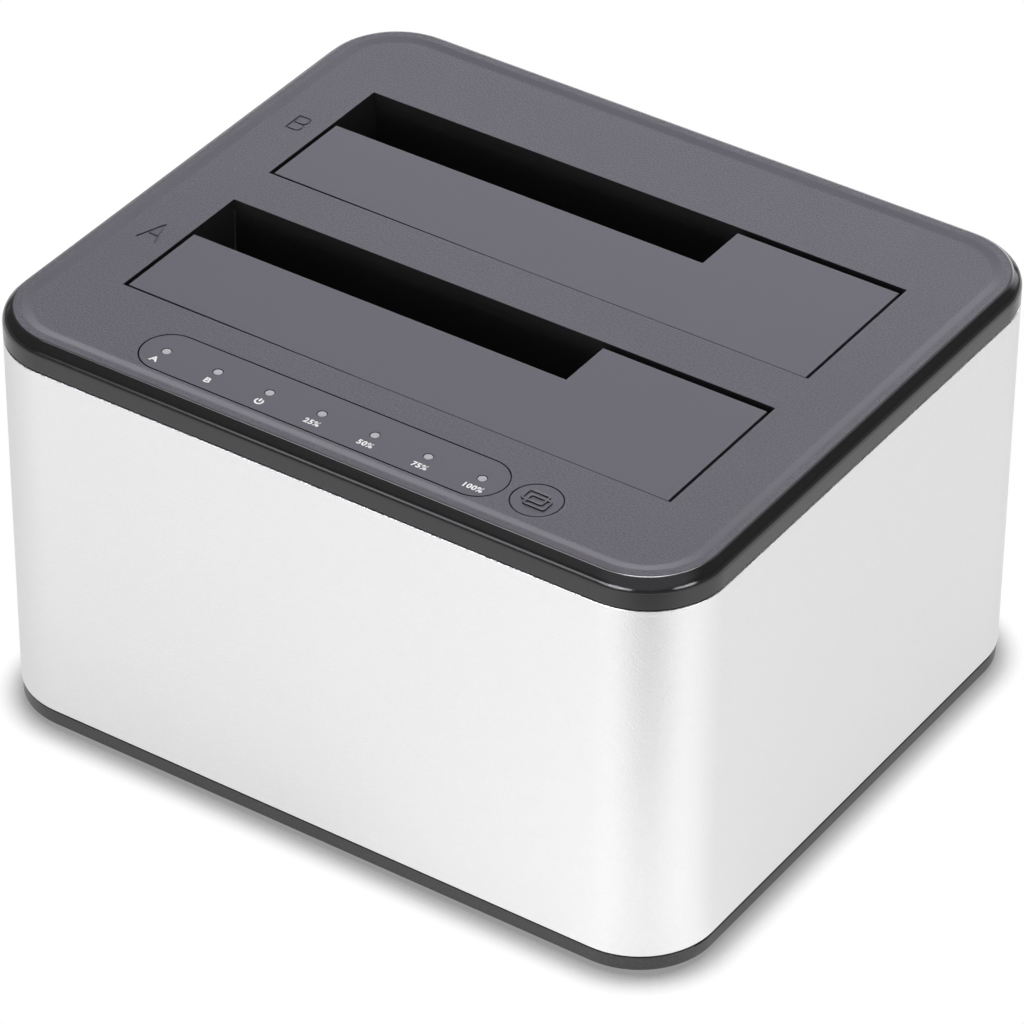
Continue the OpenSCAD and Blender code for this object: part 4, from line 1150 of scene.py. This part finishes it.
@dataclass
class CopyButton:
    """Round button with its raised sign of two overlapping sheets."""

    sheet_w: float = 3.7
    sheet_h: float = 2.45
    corner: float = 0.55
    line: float = 0.46
    relief: float = 0.17
    root: float = 0.05
    shift_x: float = 0.47
    shift_y: float = 0.5
    edge: float = 0.04
    cap_r: float = 4.15
    cad_slope: float = 0.3
    slope: float = 0.1
    # Share of the relief under which the strokes get painted shade.
    painted_shade_part: float = 0.92
    sign_round: float = 0.15
    front_lift: float = 0.01

    def build(self) -> None:
        """Builds and dresses the button."""
        bm = Bench.from_node("clone_button")
        self._narrow_slope(bm)
        Bench.soften(bm, self.edge, 2, Bench.sharp(30))
        Bench.piece("copy_button", bm, [Finishes.FLAP], Body.BUTTON, Slot.FLAP, ["clone_button"])
        for name, side, lift in (("copy_sign_back", -1, 0.0), ("copy_sign_front", 1, self.front_lift)):
            self.sheet(name, side, lift)

    def _narrow_slope(self, bm: bmesh.types.BMesh) -> None:
        """Makes the slope round the top of the cap narrower, so that only a thin ring shows.

        Args:
            bm: Mesh of the button.
        """
        axis = Vector((SIZES.button_x, SIZES.row_y, 0.0)) * MM
        top = [v for v in bm.verts if v.co.z > (SIZES.panel_z - Slack.LEVEL) * MM]
        foot_z = (SIZES.panel_z - self.cad_slope) * MM
        foot = [v for v in bm.verts if abs(v.co.z - foot_z) < Slack.LEVEL * MM]
        grow = (self.cap_r - self.slope) / (self.cap_r - self.cad_slope)
        sized = Matrix.Translation(axis) @ Matrix.Diagonal((grow, grow, 1.0, 1.0)) @ Matrix.Translation(-axis)
        bmesh.ops.transform(bm, matrix=sized, verts=top)
        bmesh.ops.translate(bm, vec=(0.0, 0.0, (self.cad_slope - self.slope) * MM), verts=foot)

    def sheet(self, name: str, side: int, lift: float) -> None:
        """Raised outline of one sheet on the cap, with a painted highlight on its top and painted shade on
        its sides.

        Args:
            name: Name of the piece.
            side: -1 for the sheet behind, 1 for the one in front.
            lift: How much higher it stands, in millimetres.
        """
        x, y = SIZES.button_x + side * self.shift_x, SIZES.row_y - side * self.shift_y
        bm = bmesh.new()
        corners = bmesh.ops.create_grid(bm, x_segments=1, y_segments=1, size=0.5)["verts"]
        wide, high = ((size + self.line) * MM for size in (self.sheet_w, self.sheet_h))
        bmesh.ops.scale(bm, vec=(wide, high, 1.0), verts=corners)
        bmesh.ops.bevel(bm, geom=corners, offset=self.corner * MM, offset_type="OFFSET", segments=4,
                        profile=0.5, affect="VERTICES", material=-1)
        sheet = bm.faces[:]
        bmesh.ops.inset_region(bm, faces=sheet, thickness=self.line * MM, use_even_offset=True,
                               use_boundary=True)
        bmesh.ops.delete(bm, geom=sheet, context="FACES_ONLY")
        bmesh.ops.translate(bm, vec=(x * MM, y * MM, (SIZES.panel_z - self.root) * MM), verts=bm.verts)
        Bench.raise_up(bm, bm.faces[:], self.root + self.relief + lift)
        Bench.soften(bm, self.sign_round, 3, Bench.sharp(40))
        # All but the top of each stroke gets painted shade; the top has the lighter finish, a painted
        # highlight.
        Bench.shade_sides(bm, SIZES.panel_z + self.relief * self.painted_shade_part, 1)
        Bench.piece(name, bm, [Finishes.SIGN_PAINTED_HIGHLIGHT, Finishes.PAINTED_SHADE], Body.BUTTON, Slot.FLAP)


@dataclass
class RearPorts:
    """Recessed panel at the back with its sockets and switch."""

    edge: float = 0.15
    rocker_at: tuple[float, float, float] = (24.0, 51.6, 21.05)
    rocker_tip_deg: float = -8.0
    face_slant_deg: float = 5.711
    mark_at: tuple[float, float] = (2.7, 3.77)
    mark_r: float = 1.05
    mark_line: float = 0.36
    mark_t: float = 0.03
    tongue_x: float = -4.0
    tongue_y: tuple[float, float] = (46.0, 52.2)
    contact_t: float = 0.08
    contact_edge: float = 0.03
    # Height of each row, number of strips, their pitch and width.
    contact_rows: tuple[tuple[float, int, float, float], ...] = (
        (15.7, 2, 2.5, 1.0), (12.7, 2, 2.5, 1.0), (18.1, 5, 0.8, 0.4))

    def build(self) -> None:
        """Builds and dresses the ports."""
        for node, finish, slot, edge in (
            ("port_panel", Finishes.CONNECTOR, Slot.BLACK, self.edge),
            ("usb_socket", Finishes.STEEL, Slot.STEEL, 0.12),
            ("usb_insulator", Finishes.BLUE, Slot.BLUE, 0.1),
            ("dc_jack", Finishes.CONNECTOR, Slot.CONNECTOR, 0.2),
            ("dc_pin", Finishes.STEEL, Slot.STEEL, 0.3),
            ("power_switch", Finishes.CONNECTOR, Slot.CONNECTOR, 0.2),
        ):
            bm = Bench.from_node(node)
            Bench.soften(bm, edge, 2, Bench.sharp(50))
            Bench.piece(f"rear_{node}", bm, [finish], Body.HOUSING, slot, [node])
        bm = Bench.from_node("power_rocker")
        Bench.soften(bm, self.edge, 3, Bench.sharp(50))
        Bench.piece("rear_power_rocker", bm, [Finishes.CONNECTOR], Body.ROCKER, Slot.CONNECTOR,
                    ["power_rocker"])
        self.marks()
        self.contacts()

    def marks(self) -> None:
        """White bar and ring on the two faces of the rocker."""
        half = self.mark_line / 2
        bm = bmesh.new()
        Bench.box(bm, (-half, -self.mark_r, -self.mark_t), (half, self.mark_r, self.mark_t))
        self._on_rocker("rocker_mark_on", bm, 1)
        bm = bmesh.new()
        bmesh.ops.create_circle(bm, cap_ends=True, radius=self.mark_r * MM, segments=40)
        disc = bm.faces[:]
        bmesh.ops.inset_region(bm, faces=disc, thickness=self.mark_line * MM, use_even_offset=True,
                               use_boundary=True)
        bmesh.ops.delete(bm, geom=disc, context="FACES_ONLY")
        bmesh.ops.translate(bm, vec=(0.0, 0.0, -self.mark_t * MM), verts=bm.verts)
        Bench.raise_up(bm, bm.faces[:], 2 * self.mark_t)
        self._on_rocker("rocker_mark_off", bm, -1)

    def _on_rocker(self, name: str, bm: bmesh.types.BMesh, side: int) -> None:
        """Lays a flat mark on one face of the rocker.

        Args:
            name: Name of the piece.
            bm: The mark, flat round the origin.
            side: 1 for the face towards +X, -1 for the other.
        """
        at = Vector((side * self.mark_at[0], self.mark_at[1], 0.0)) * MM
        turn = Matrix.Rotation(math.radians(self.rocker_tip_deg), 4, "Z") @ Matrix.Translation(at)
        slant = Matrix.Rotation(math.radians(side * self.face_slant_deg), 4, "Z")
        lay = slant @ Matrix.Rotation(-math.pi / 2, 4, "X")
        axle = Matrix.Translation(Vector(self.rocker_at) * MM)
        bmesh.ops.transform(bm, matrix=axle @ turn @ lay, verts=bm.verts)
        Bench.piece(name, bm, [Finishes.INK], Body.ROCKER)

    def contacts(self) -> None:
        """Contact strips on the tongues of the data socket."""
        bm = bmesh.new()
        low, high = self.tongue_y
        for level, count, pitch, width in self.contact_rows:
            for i in range(count):
                x = self.tongue_x + (i - (count - 1) / 2) * pitch
                Bench.box(bm, (x - width / 2, low, level - self.contact_t),
                          (x + width / 2, high, level + self.contact_t))
        Bench.soften(bm, self.contact_edge, 1, Bench.sharp(60))
        Bench.piece("rear_usb_contacts", bm, [Finishes.GOLD], Body.HOUSING)


class Inside:
    """Pieces inside the housing, which keep their CAD shape and get a finish."""

    FINISH = {
        "well_screws": Finishes.STEEL, "hinge_pin_a": Finishes.STEEL, "hinge_pin_b": Finishes.STEEL,
        "led_board": Finishes.BOARD, "leds": Finishes.LAMP,
        "led_board_screws": Finishes.STEEL, "switch_plunger": Finishes.WELL,
        "tact_switch": Finishes.STEEL, "main_board": Finishes.BOARD, "board_screws": Finishes.STEEL,
        "bridge_chip": Finishes.CHIP, "memory_chips": Finishes.CHIP, "capacitors": Finishes.CAN,
        "inductors": Finishes.FERRITE, "ribbon_cable": Finishes.CABLE, "ribbon_headers": Finishes.HEADER,
        "switch_leads": Finishes.LEAD,
    }

    def dress(self) -> None:
        """Gives each inner node its finish."""
        for node, finish in self.FINISH.items():
            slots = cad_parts[node].data.materials
            slots.clear()
            slots.append(finish.material())
            LOG.info("%s: dressed in %s", node, finish.name)


@dataclass
class Studio:
    """White floor, soft light and the camera of the picture."""

    azimuth_deg: float = 33.8086
    elevation_deg: float = 36.2985
    roll_deg: float = 0.418
    target_mm: tuple[float, float, float] = (1.6138, -2.7703, 35.0)
    distance_mm: float = 962.718
    lens_mm: float = 207.1185
    floor_r: float = 4.0
    tent_r: float = 3.0
    room_light: float = 0.6
    key_watts: float = 6.0
    shadow_reach: float = 5.0
    camera_shade: float = 0.52
    tent_dark: float = 0.03
    back_low: float = 4.2
    back_mid: float = 0.72
    back_high: float = 1.25
    sensor_mm: float = 36.0
    clip_m: tuple[float, float] = (0.05, 50.0)
    floor_matt: float = 0.8
    contact_dark: float = 0.30
    contact_from: float = 0.5
    pool_full: float = 1.2
    # Painted shade of the floor in reflections: a spot where the camera stands, a contact shade near the dock
    # and a fade far out.
    camera_spot_mm: tuple[float, float] = (150.0, -170.0)
    camera_reach: float = 0.13
    contact_shade_level: float = 0.95
    contact_shade_span: tuple[float, float] = (0.014, 0.044)
    fade_level: float = 0.12
    fade_span: tuple[float, float] = (0.30, 0.60)
    back_way: tuple[float, float, float] = (-0.28, 0.85, 0.45)
    back_from: float = 0.72
    back_low_end: float = 0.3
    back_low_span: tuple[float, float] = (0.28, 0.61)
    back_high_span: tuple[float, float] = (0.56, 0.72)
    skirt: float = 0.35
    skirt_span: tuple[float, float] = (0.02, 0.14)
    window_core: float = 0.6
    tent_colour: Colour = (0.99, 0.975, 1.04)
    key_from: tuple[float, float, float] = (-0.45, 0.55, 0.75)
    key_size: float = 0.7
    # Bearing round the near corner in degrees, and brightness of the floor there in reflections: painted
    # pools of light and shade.
    pools: tuple[tuple[float, float], ...] = (
        (-180, 0.82), (-166, 0.76), (-150, 0.45), (-131, 0.38), (-108, 0.80), (-82, 0.77), (-65, 0.92),
        (-50, 0.98), (-30, 0.98), (-12, 1.07), (5, 1.06), (20, 1.01), (35, 0.98), (50, 0.98),
        (70, 1.06), (85, 1.05), (100, 0.97), (116, 0.89), (140, 0.86), (162, 0.82), (180, 0.82))
    # Direction, half-width in degrees and brightness of each window in the tent.
    lamp_windows: tuple[tuple[tuple[float, float, float], float, float], ...] = (
        ((0.18, -0.96, 0.21), 8.0, 6.0), ((-0.02, -0.98, 0.21), 11.0, 7.0),
        ((-0.24, -0.95, 0.21), 9.0, 5.0), ((-0.42, -0.88, 0.21), 7.0, 3.0),
        ((0.93, -0.30, 0.21), 8.0, 6.0), ((0.97, -0.10, 0.21), 9.0, 7.0),
        ((-0.15, 0.22, 0.96), 12.0, 18.0), ((-0.05, 0.43, 0.90), 9.0, 9.0), ((-0.42, 0.13, 0.90), 9.0, 5.0),
        ((0.30, -0.45, 0.84), 52.0, 0.5))

    def build(self) -> None:
        """Sets up camera, floor, reflecting tent, lamp and world."""
        scene = bpy.context.scene
        scene.view_settings.view_transform = "Standard"
        self.camera(scene)
        self.floor()
        self.tent()
        self.key()
        self.world(scene)

    def camera(self, scene: bpy.types.Scene) -> None:
        """Puts the camera at the picture's viewing angle.

        Args:
            scene: The scene that gets the camera.
        """
        a, e, r = (math.radians(v) for v in (self.azimuth_deg, self.elevation_deg, self.roll_deg))
        back = Vector((math.sin(a) * math.cos(e), -math.cos(a) * math.cos(e), math.sin(e)))
        level = Vector((math.cos(a), math.sin(a), 0.0))
        rise = back.cross(level)
        right = level * math.cos(r) + rise * math.sin(r)
        up = rise * math.cos(r) - level * math.sin(r)
        data = bpy.data.cameras.new("photo_camera")
        data.lens, data.sensor_width = self.lens_mm, self.sensor_mm
        data.clip_start, data.clip_end = self.clip_m
        camera = bpy.data.objects.new("photo_camera", data)
        place = (Vector(self.target_mm) + back * self.distance_mm) * MM
        turn = Matrix((right, up, back)).transposed()
        camera.matrix_world = Matrix.Translation(place) @ turn.to_4x4()
        scene.collection.objects.link(camera)
        scene.camera = camera

    def floor(self) -> None:
        """Pale floor that shows white and keeps a soft shadow round the feet."""
        bm = bmesh.new()
        bmesh.ops.create_circle(bm, cap_ends=True, radius=self.floor_r, segments=64)
        floor = self._stage_piece("floor", bm)
        g = self._stage_graph(floor, "floor_white")
        rays = g.add("LightPath")
        near = g.add("AmbientOcclusion", samples=6)
        near.inputs["Distance"].default_value = self.shadow_reach * MM
        seen = g.add("Emission")
        shadow = g.spread(near.outputs["AO"], self.contact_dark, 1.0, self.contact_from, 1.0)
        g.link(shadow, seen.inputs["Strength"])
        mirrored = g.add("Emission")
        g.link(self._mirrored(g), mirrored.inputs["Strength"])
        matt = g.add("BsdfDiffuse")
        matt.inputs["Color"].default_value = (self.floor_matt, self.floor_matt, self.floor_matt, 1.0)
        bright = g.math("MAXIMUM", rays.outputs["Is Glossy Ray"], rays.outputs["Is Transmission Ray"])
        first, second = g.add("MixShader"), g.add("MixShader")
        g.link(bright, first.inputs[0])
        g.link(matt.outputs[0], first.inputs[1])
        g.link(mirrored.outputs[0], first.inputs[2])
        g.link(rays.outputs["Is Camera Ray"], second.inputs[0])
        g.link(first.outputs[0], second.inputs[1])
        g.link(seen.outputs[0], second.inputs[2])
        g.link(second.outputs[0], g.out.inputs["Surface"])

    def _mirrored(self, g: Graph) -> bpy.types.NodeSocket:
        """Painted brightness of the floor in reflections: painted pools of light and shade round the near
        corner, a painted shade where the camera stands, a painted contact shade near the dock and a painted
        fade far out.

        Args:
            g: Graph of the floor's material.

        Returns:
            The brightness.
        """
        place = g.add("TexCoord").outputs["Object"]
        corner_x, corner_y = (v * MM for v in SIZES.corner())
        offset = g.add("VectorMath", operation="SUBTRACT")
        offset.inputs[1].default_value = (corner_x, -corner_y, 0.0)
        g.link(place, offset.inputs[0])
        split = g.add("SeparateXYZ")
        g.link(offset.outputs[0], split.inputs[0])
        turn = g.math("ARCTAN2", split.outputs["X"], g.math("MULTIPLY", split.outputs["Y"], -1.0))
        # Painted pools of light and shade by bearing round the near corner.
        ramp = g.add("ValToRGB")
        ramp.color_ramp.interpolation = "B_SPLINE"
        g.link(g.spread(turn, 0.0, 1.0, -math.pi, math.pi), ramp.inputs[0])
        stops = ramp.color_ramp.elements
        for i, (angle, level) in enumerate(self.pools):
            stop = stops[i] if i < 2 else stops.new(1.0)
            stop.position = (angle + 180.0) / 360.0
            share = level / self.pool_full
            stop.color = (share, share, share, 1.0)
        pool = g.math("MULTIPLY", ramp.outputs[0], self.pool_full)
        # Painted shade round the spot where the camera stands.
        away = g.add("VectorMath", operation="DISTANCE")
        away.inputs[1].default_value = (*(v * MM for v in self.camera_spot_mm), 0.0)
        g.link(place, away.inputs[0])
        shade = g.spread(away.outputs["Value"], self.camera_shade, 0.0, 0.0, self.camera_reach, True)
        # Painted contact shade near the dock, and a painted fade far out.
        aside = g.add("VectorMath", operation="ABSOLUTE")
        g.link(place, aside.inputs[0])
        past = g.add("VectorMath", operation="SUBTRACT")
        past.inputs[1].default_value = (corner_x, corner_y, 1.0)
        g.link(aside.outputs[0], past.inputs[0])
        outer = g.add("VectorMath", operation="MAXIMUM")
        g.link(past.outputs[0], outer.inputs[0])
        depth = g.add("VectorMath", operation="LENGTH")
        g.link(outer.outputs[0], depth.inputs[0])
        contact = g.spread(depth.outputs["Value"], self.contact_shade_level, 1.0, *self.contact_shade_span, True)
        end = g.spread(depth.outputs["Value"], 1.0, self.fade_level, *self.fade_span, True)
        return g.math("MULTIPLY", g.math("MULTIPLY", g.math("SUBTRACT", pool, shade), contact), end)

    def tent(self) -> None:
        """Dark tent with a bright side behind and lamp windows, seen only in reflections."""
        bm = bmesh.new()
        bmesh.ops.create_uvsphere(bm, u_segments=48, v_segments=24, radius=self.tent_r)
        bmesh.ops.bisect_plane(bm, geom=bm.verts[:] + bm.edges[:] + bm.faces[:], plane_co=(0, 0, 0.01),
                               plane_no=(0, 0, 1), clear_inner=True)
        tent = self._stage_piece("tent", bm)
        tent.visible_camera = tent.visible_diffuse = tent.visible_shadow = False
        tent.visible_volume_scatter = False
        g = self._stage_graph(tent, "tent_cloth")
        way = g.add("VectorMath", operation="NORMALIZE")
        g.link(g.add("TexCoord").outputs["Object"], way.inputs[0])
        split = g.add("SeparateXYZ")
        g.link(way.outputs[0], split.inputs[0])
        side = self._towards(g, way, self.back_way, self.back_from, 1.0, 1.0)
        low = g.spread(split.outputs["Z"], self.back_low, self.back_low_end, *self.back_low_span)
        high = g.spread(split.outputs["Z"], self.back_mid, self.back_high, *self.back_high_span, True)
        back = g.math("MULTIPLY", side, g.math("MAXIMUM", low, high))
        skirt = g.spread(split.outputs["Z"], self.skirt, self.tent_dark, *self.skirt_span, True)
        total = g.math("MAXIMUM", back, skirt)
        for direction, spread_deg, level in self.lamp_windows:
            inner, outer = (math.cos(math.radians(spread_deg * k)) for k in (self.window_core, 1.0))
            total = g.math("ADD", total, self._towards(g, way, direction, outer, inner, level))
        glow = g.add("Emission")
        glow.inputs["Color"].default_value = (*self.tent_colour, 1.0)
        g.link(total, glow.inputs["Strength"])
        g.link(glow.outputs[0], g.out.inputs["Surface"])
        tent.data.materials[0].cycles.emission_sampling = "NONE"

    @staticmethod
    def _towards(g: Graph, way: bpy.types.Node, direction: tuple[float, float, float],
                 outer: float, inner: float, level: float) -> bpy.types.NodeSocket:
        """Soft bright patch of the tent round a direction.

        Args:
            g: Graph of the tent's material.
            way: Node that gives the direction looked at.
            direction: Middle of the patch.
            outer: Cosine at which the patch ends.
            inner: Cosine at which it is full.
            level: Its brightness.

        Returns:
            The brightness.
        """
        dot = g.add("VectorMath", operation="DOT_PRODUCT")
        dot.inputs[1].default_value = Vector(direction).normalized()
        g.link(way.outputs[0], dot.inputs[0])
        return g.spread(dot.outputs["Value"], 0.0, level, outer, inner, True)

    def key(self) -> None:
        """Large soft lamp above and behind, which the tent stands for in reflections."""
        data = bpy.data.lights.new("key", "AREA")
        data.energy, data.shape, data.size = self.key_watts, "DISK", self.key_size
        lamp = bpy.data.objects.new("key", data)
        place = Vector(self.key_from)
        lamp.location = place
        lamp.rotation_euler = (-place).to_track_quat("-Z", "Y").to_euler()
        lamp.visible_glossy = False
        bpy.context.scene.collection.objects.link(lamp)

    def world(self, scene: bpy.types.Scene) -> None:
        """White surroundings for camera and reflections, plain room light for the rest.

        Args:
            scene: The scene that gets the world.
        """
        world = bpy.data.worlds.new("studio")
        world.use_nodes = True
        scene.world = world
        g = Graph(world.node_tree)
        rays, sky, out = g.add("LightPath"), g.add("Background"), g.add("OutputWorld")
        seen = g.math("MAXIMUM", rays.outputs["Is Camera Ray"], g.math(
            "MAXIMUM", rays.outputs["Is Glossy Ray"], rays.outputs["Is Transmission Ray"]))
        g.link(g.spread(seen, self.room_light, 1.0), sky.inputs["Strength"])
        g.link(sky.outputs[0], out.inputs["Surface"])

    @staticmethod
    def _stage_piece(name: str, bm: bmesh.types.BMesh) -> bpy.types.Object:
        """Makes an object that isn't part of the docking station.

        Args:
            name: Name of the object.
            bm: Its mesh, which is used up.

        Returns:
            The object.
        """
        mesh = bpy.data.meshes.new(name)
        bm.to_mesh(mesh)
        bm.free()
        obj = bpy.data.objects.new(name, mesh)
        bpy.context.scene.collection.objects.link(obj)
        return obj

    @staticmethod
    def _stage_graph(obj: bpy.types.Object, name: str) -> Graph:
        """Gives a stage object a material with an output node.

        Args:
            obj: The object.
            name: Name of the material.

        Returns:
            The material's graph, whose output node is named out.
        """
        made = bpy.data.materials.new(name)
        made.use_nodes = True
        obj.data.materials.append(made)
        graph = Graph(made.node_tree)
        graph.out = graph.add("OutputMaterial")
        return graph


def main() -> None:
    """Builds the scene."""
    logging.basicConfig(level=logging.INFO, format="%(name)s: %(message)s")
    Studio().build()
    Housing().build()
    DriveBay("A", -SIZES.bay_pitch / 2, Body.FLAP_A).build()
    DriveBay("B", SIZES.bay_pitch / 2, Body.FLAP_B).build()
    IndicatorStrip().build()
    CopyButton().build()
    RearPorts().build()
    Inside().dress()


if __name__ == "__main__":
    main()
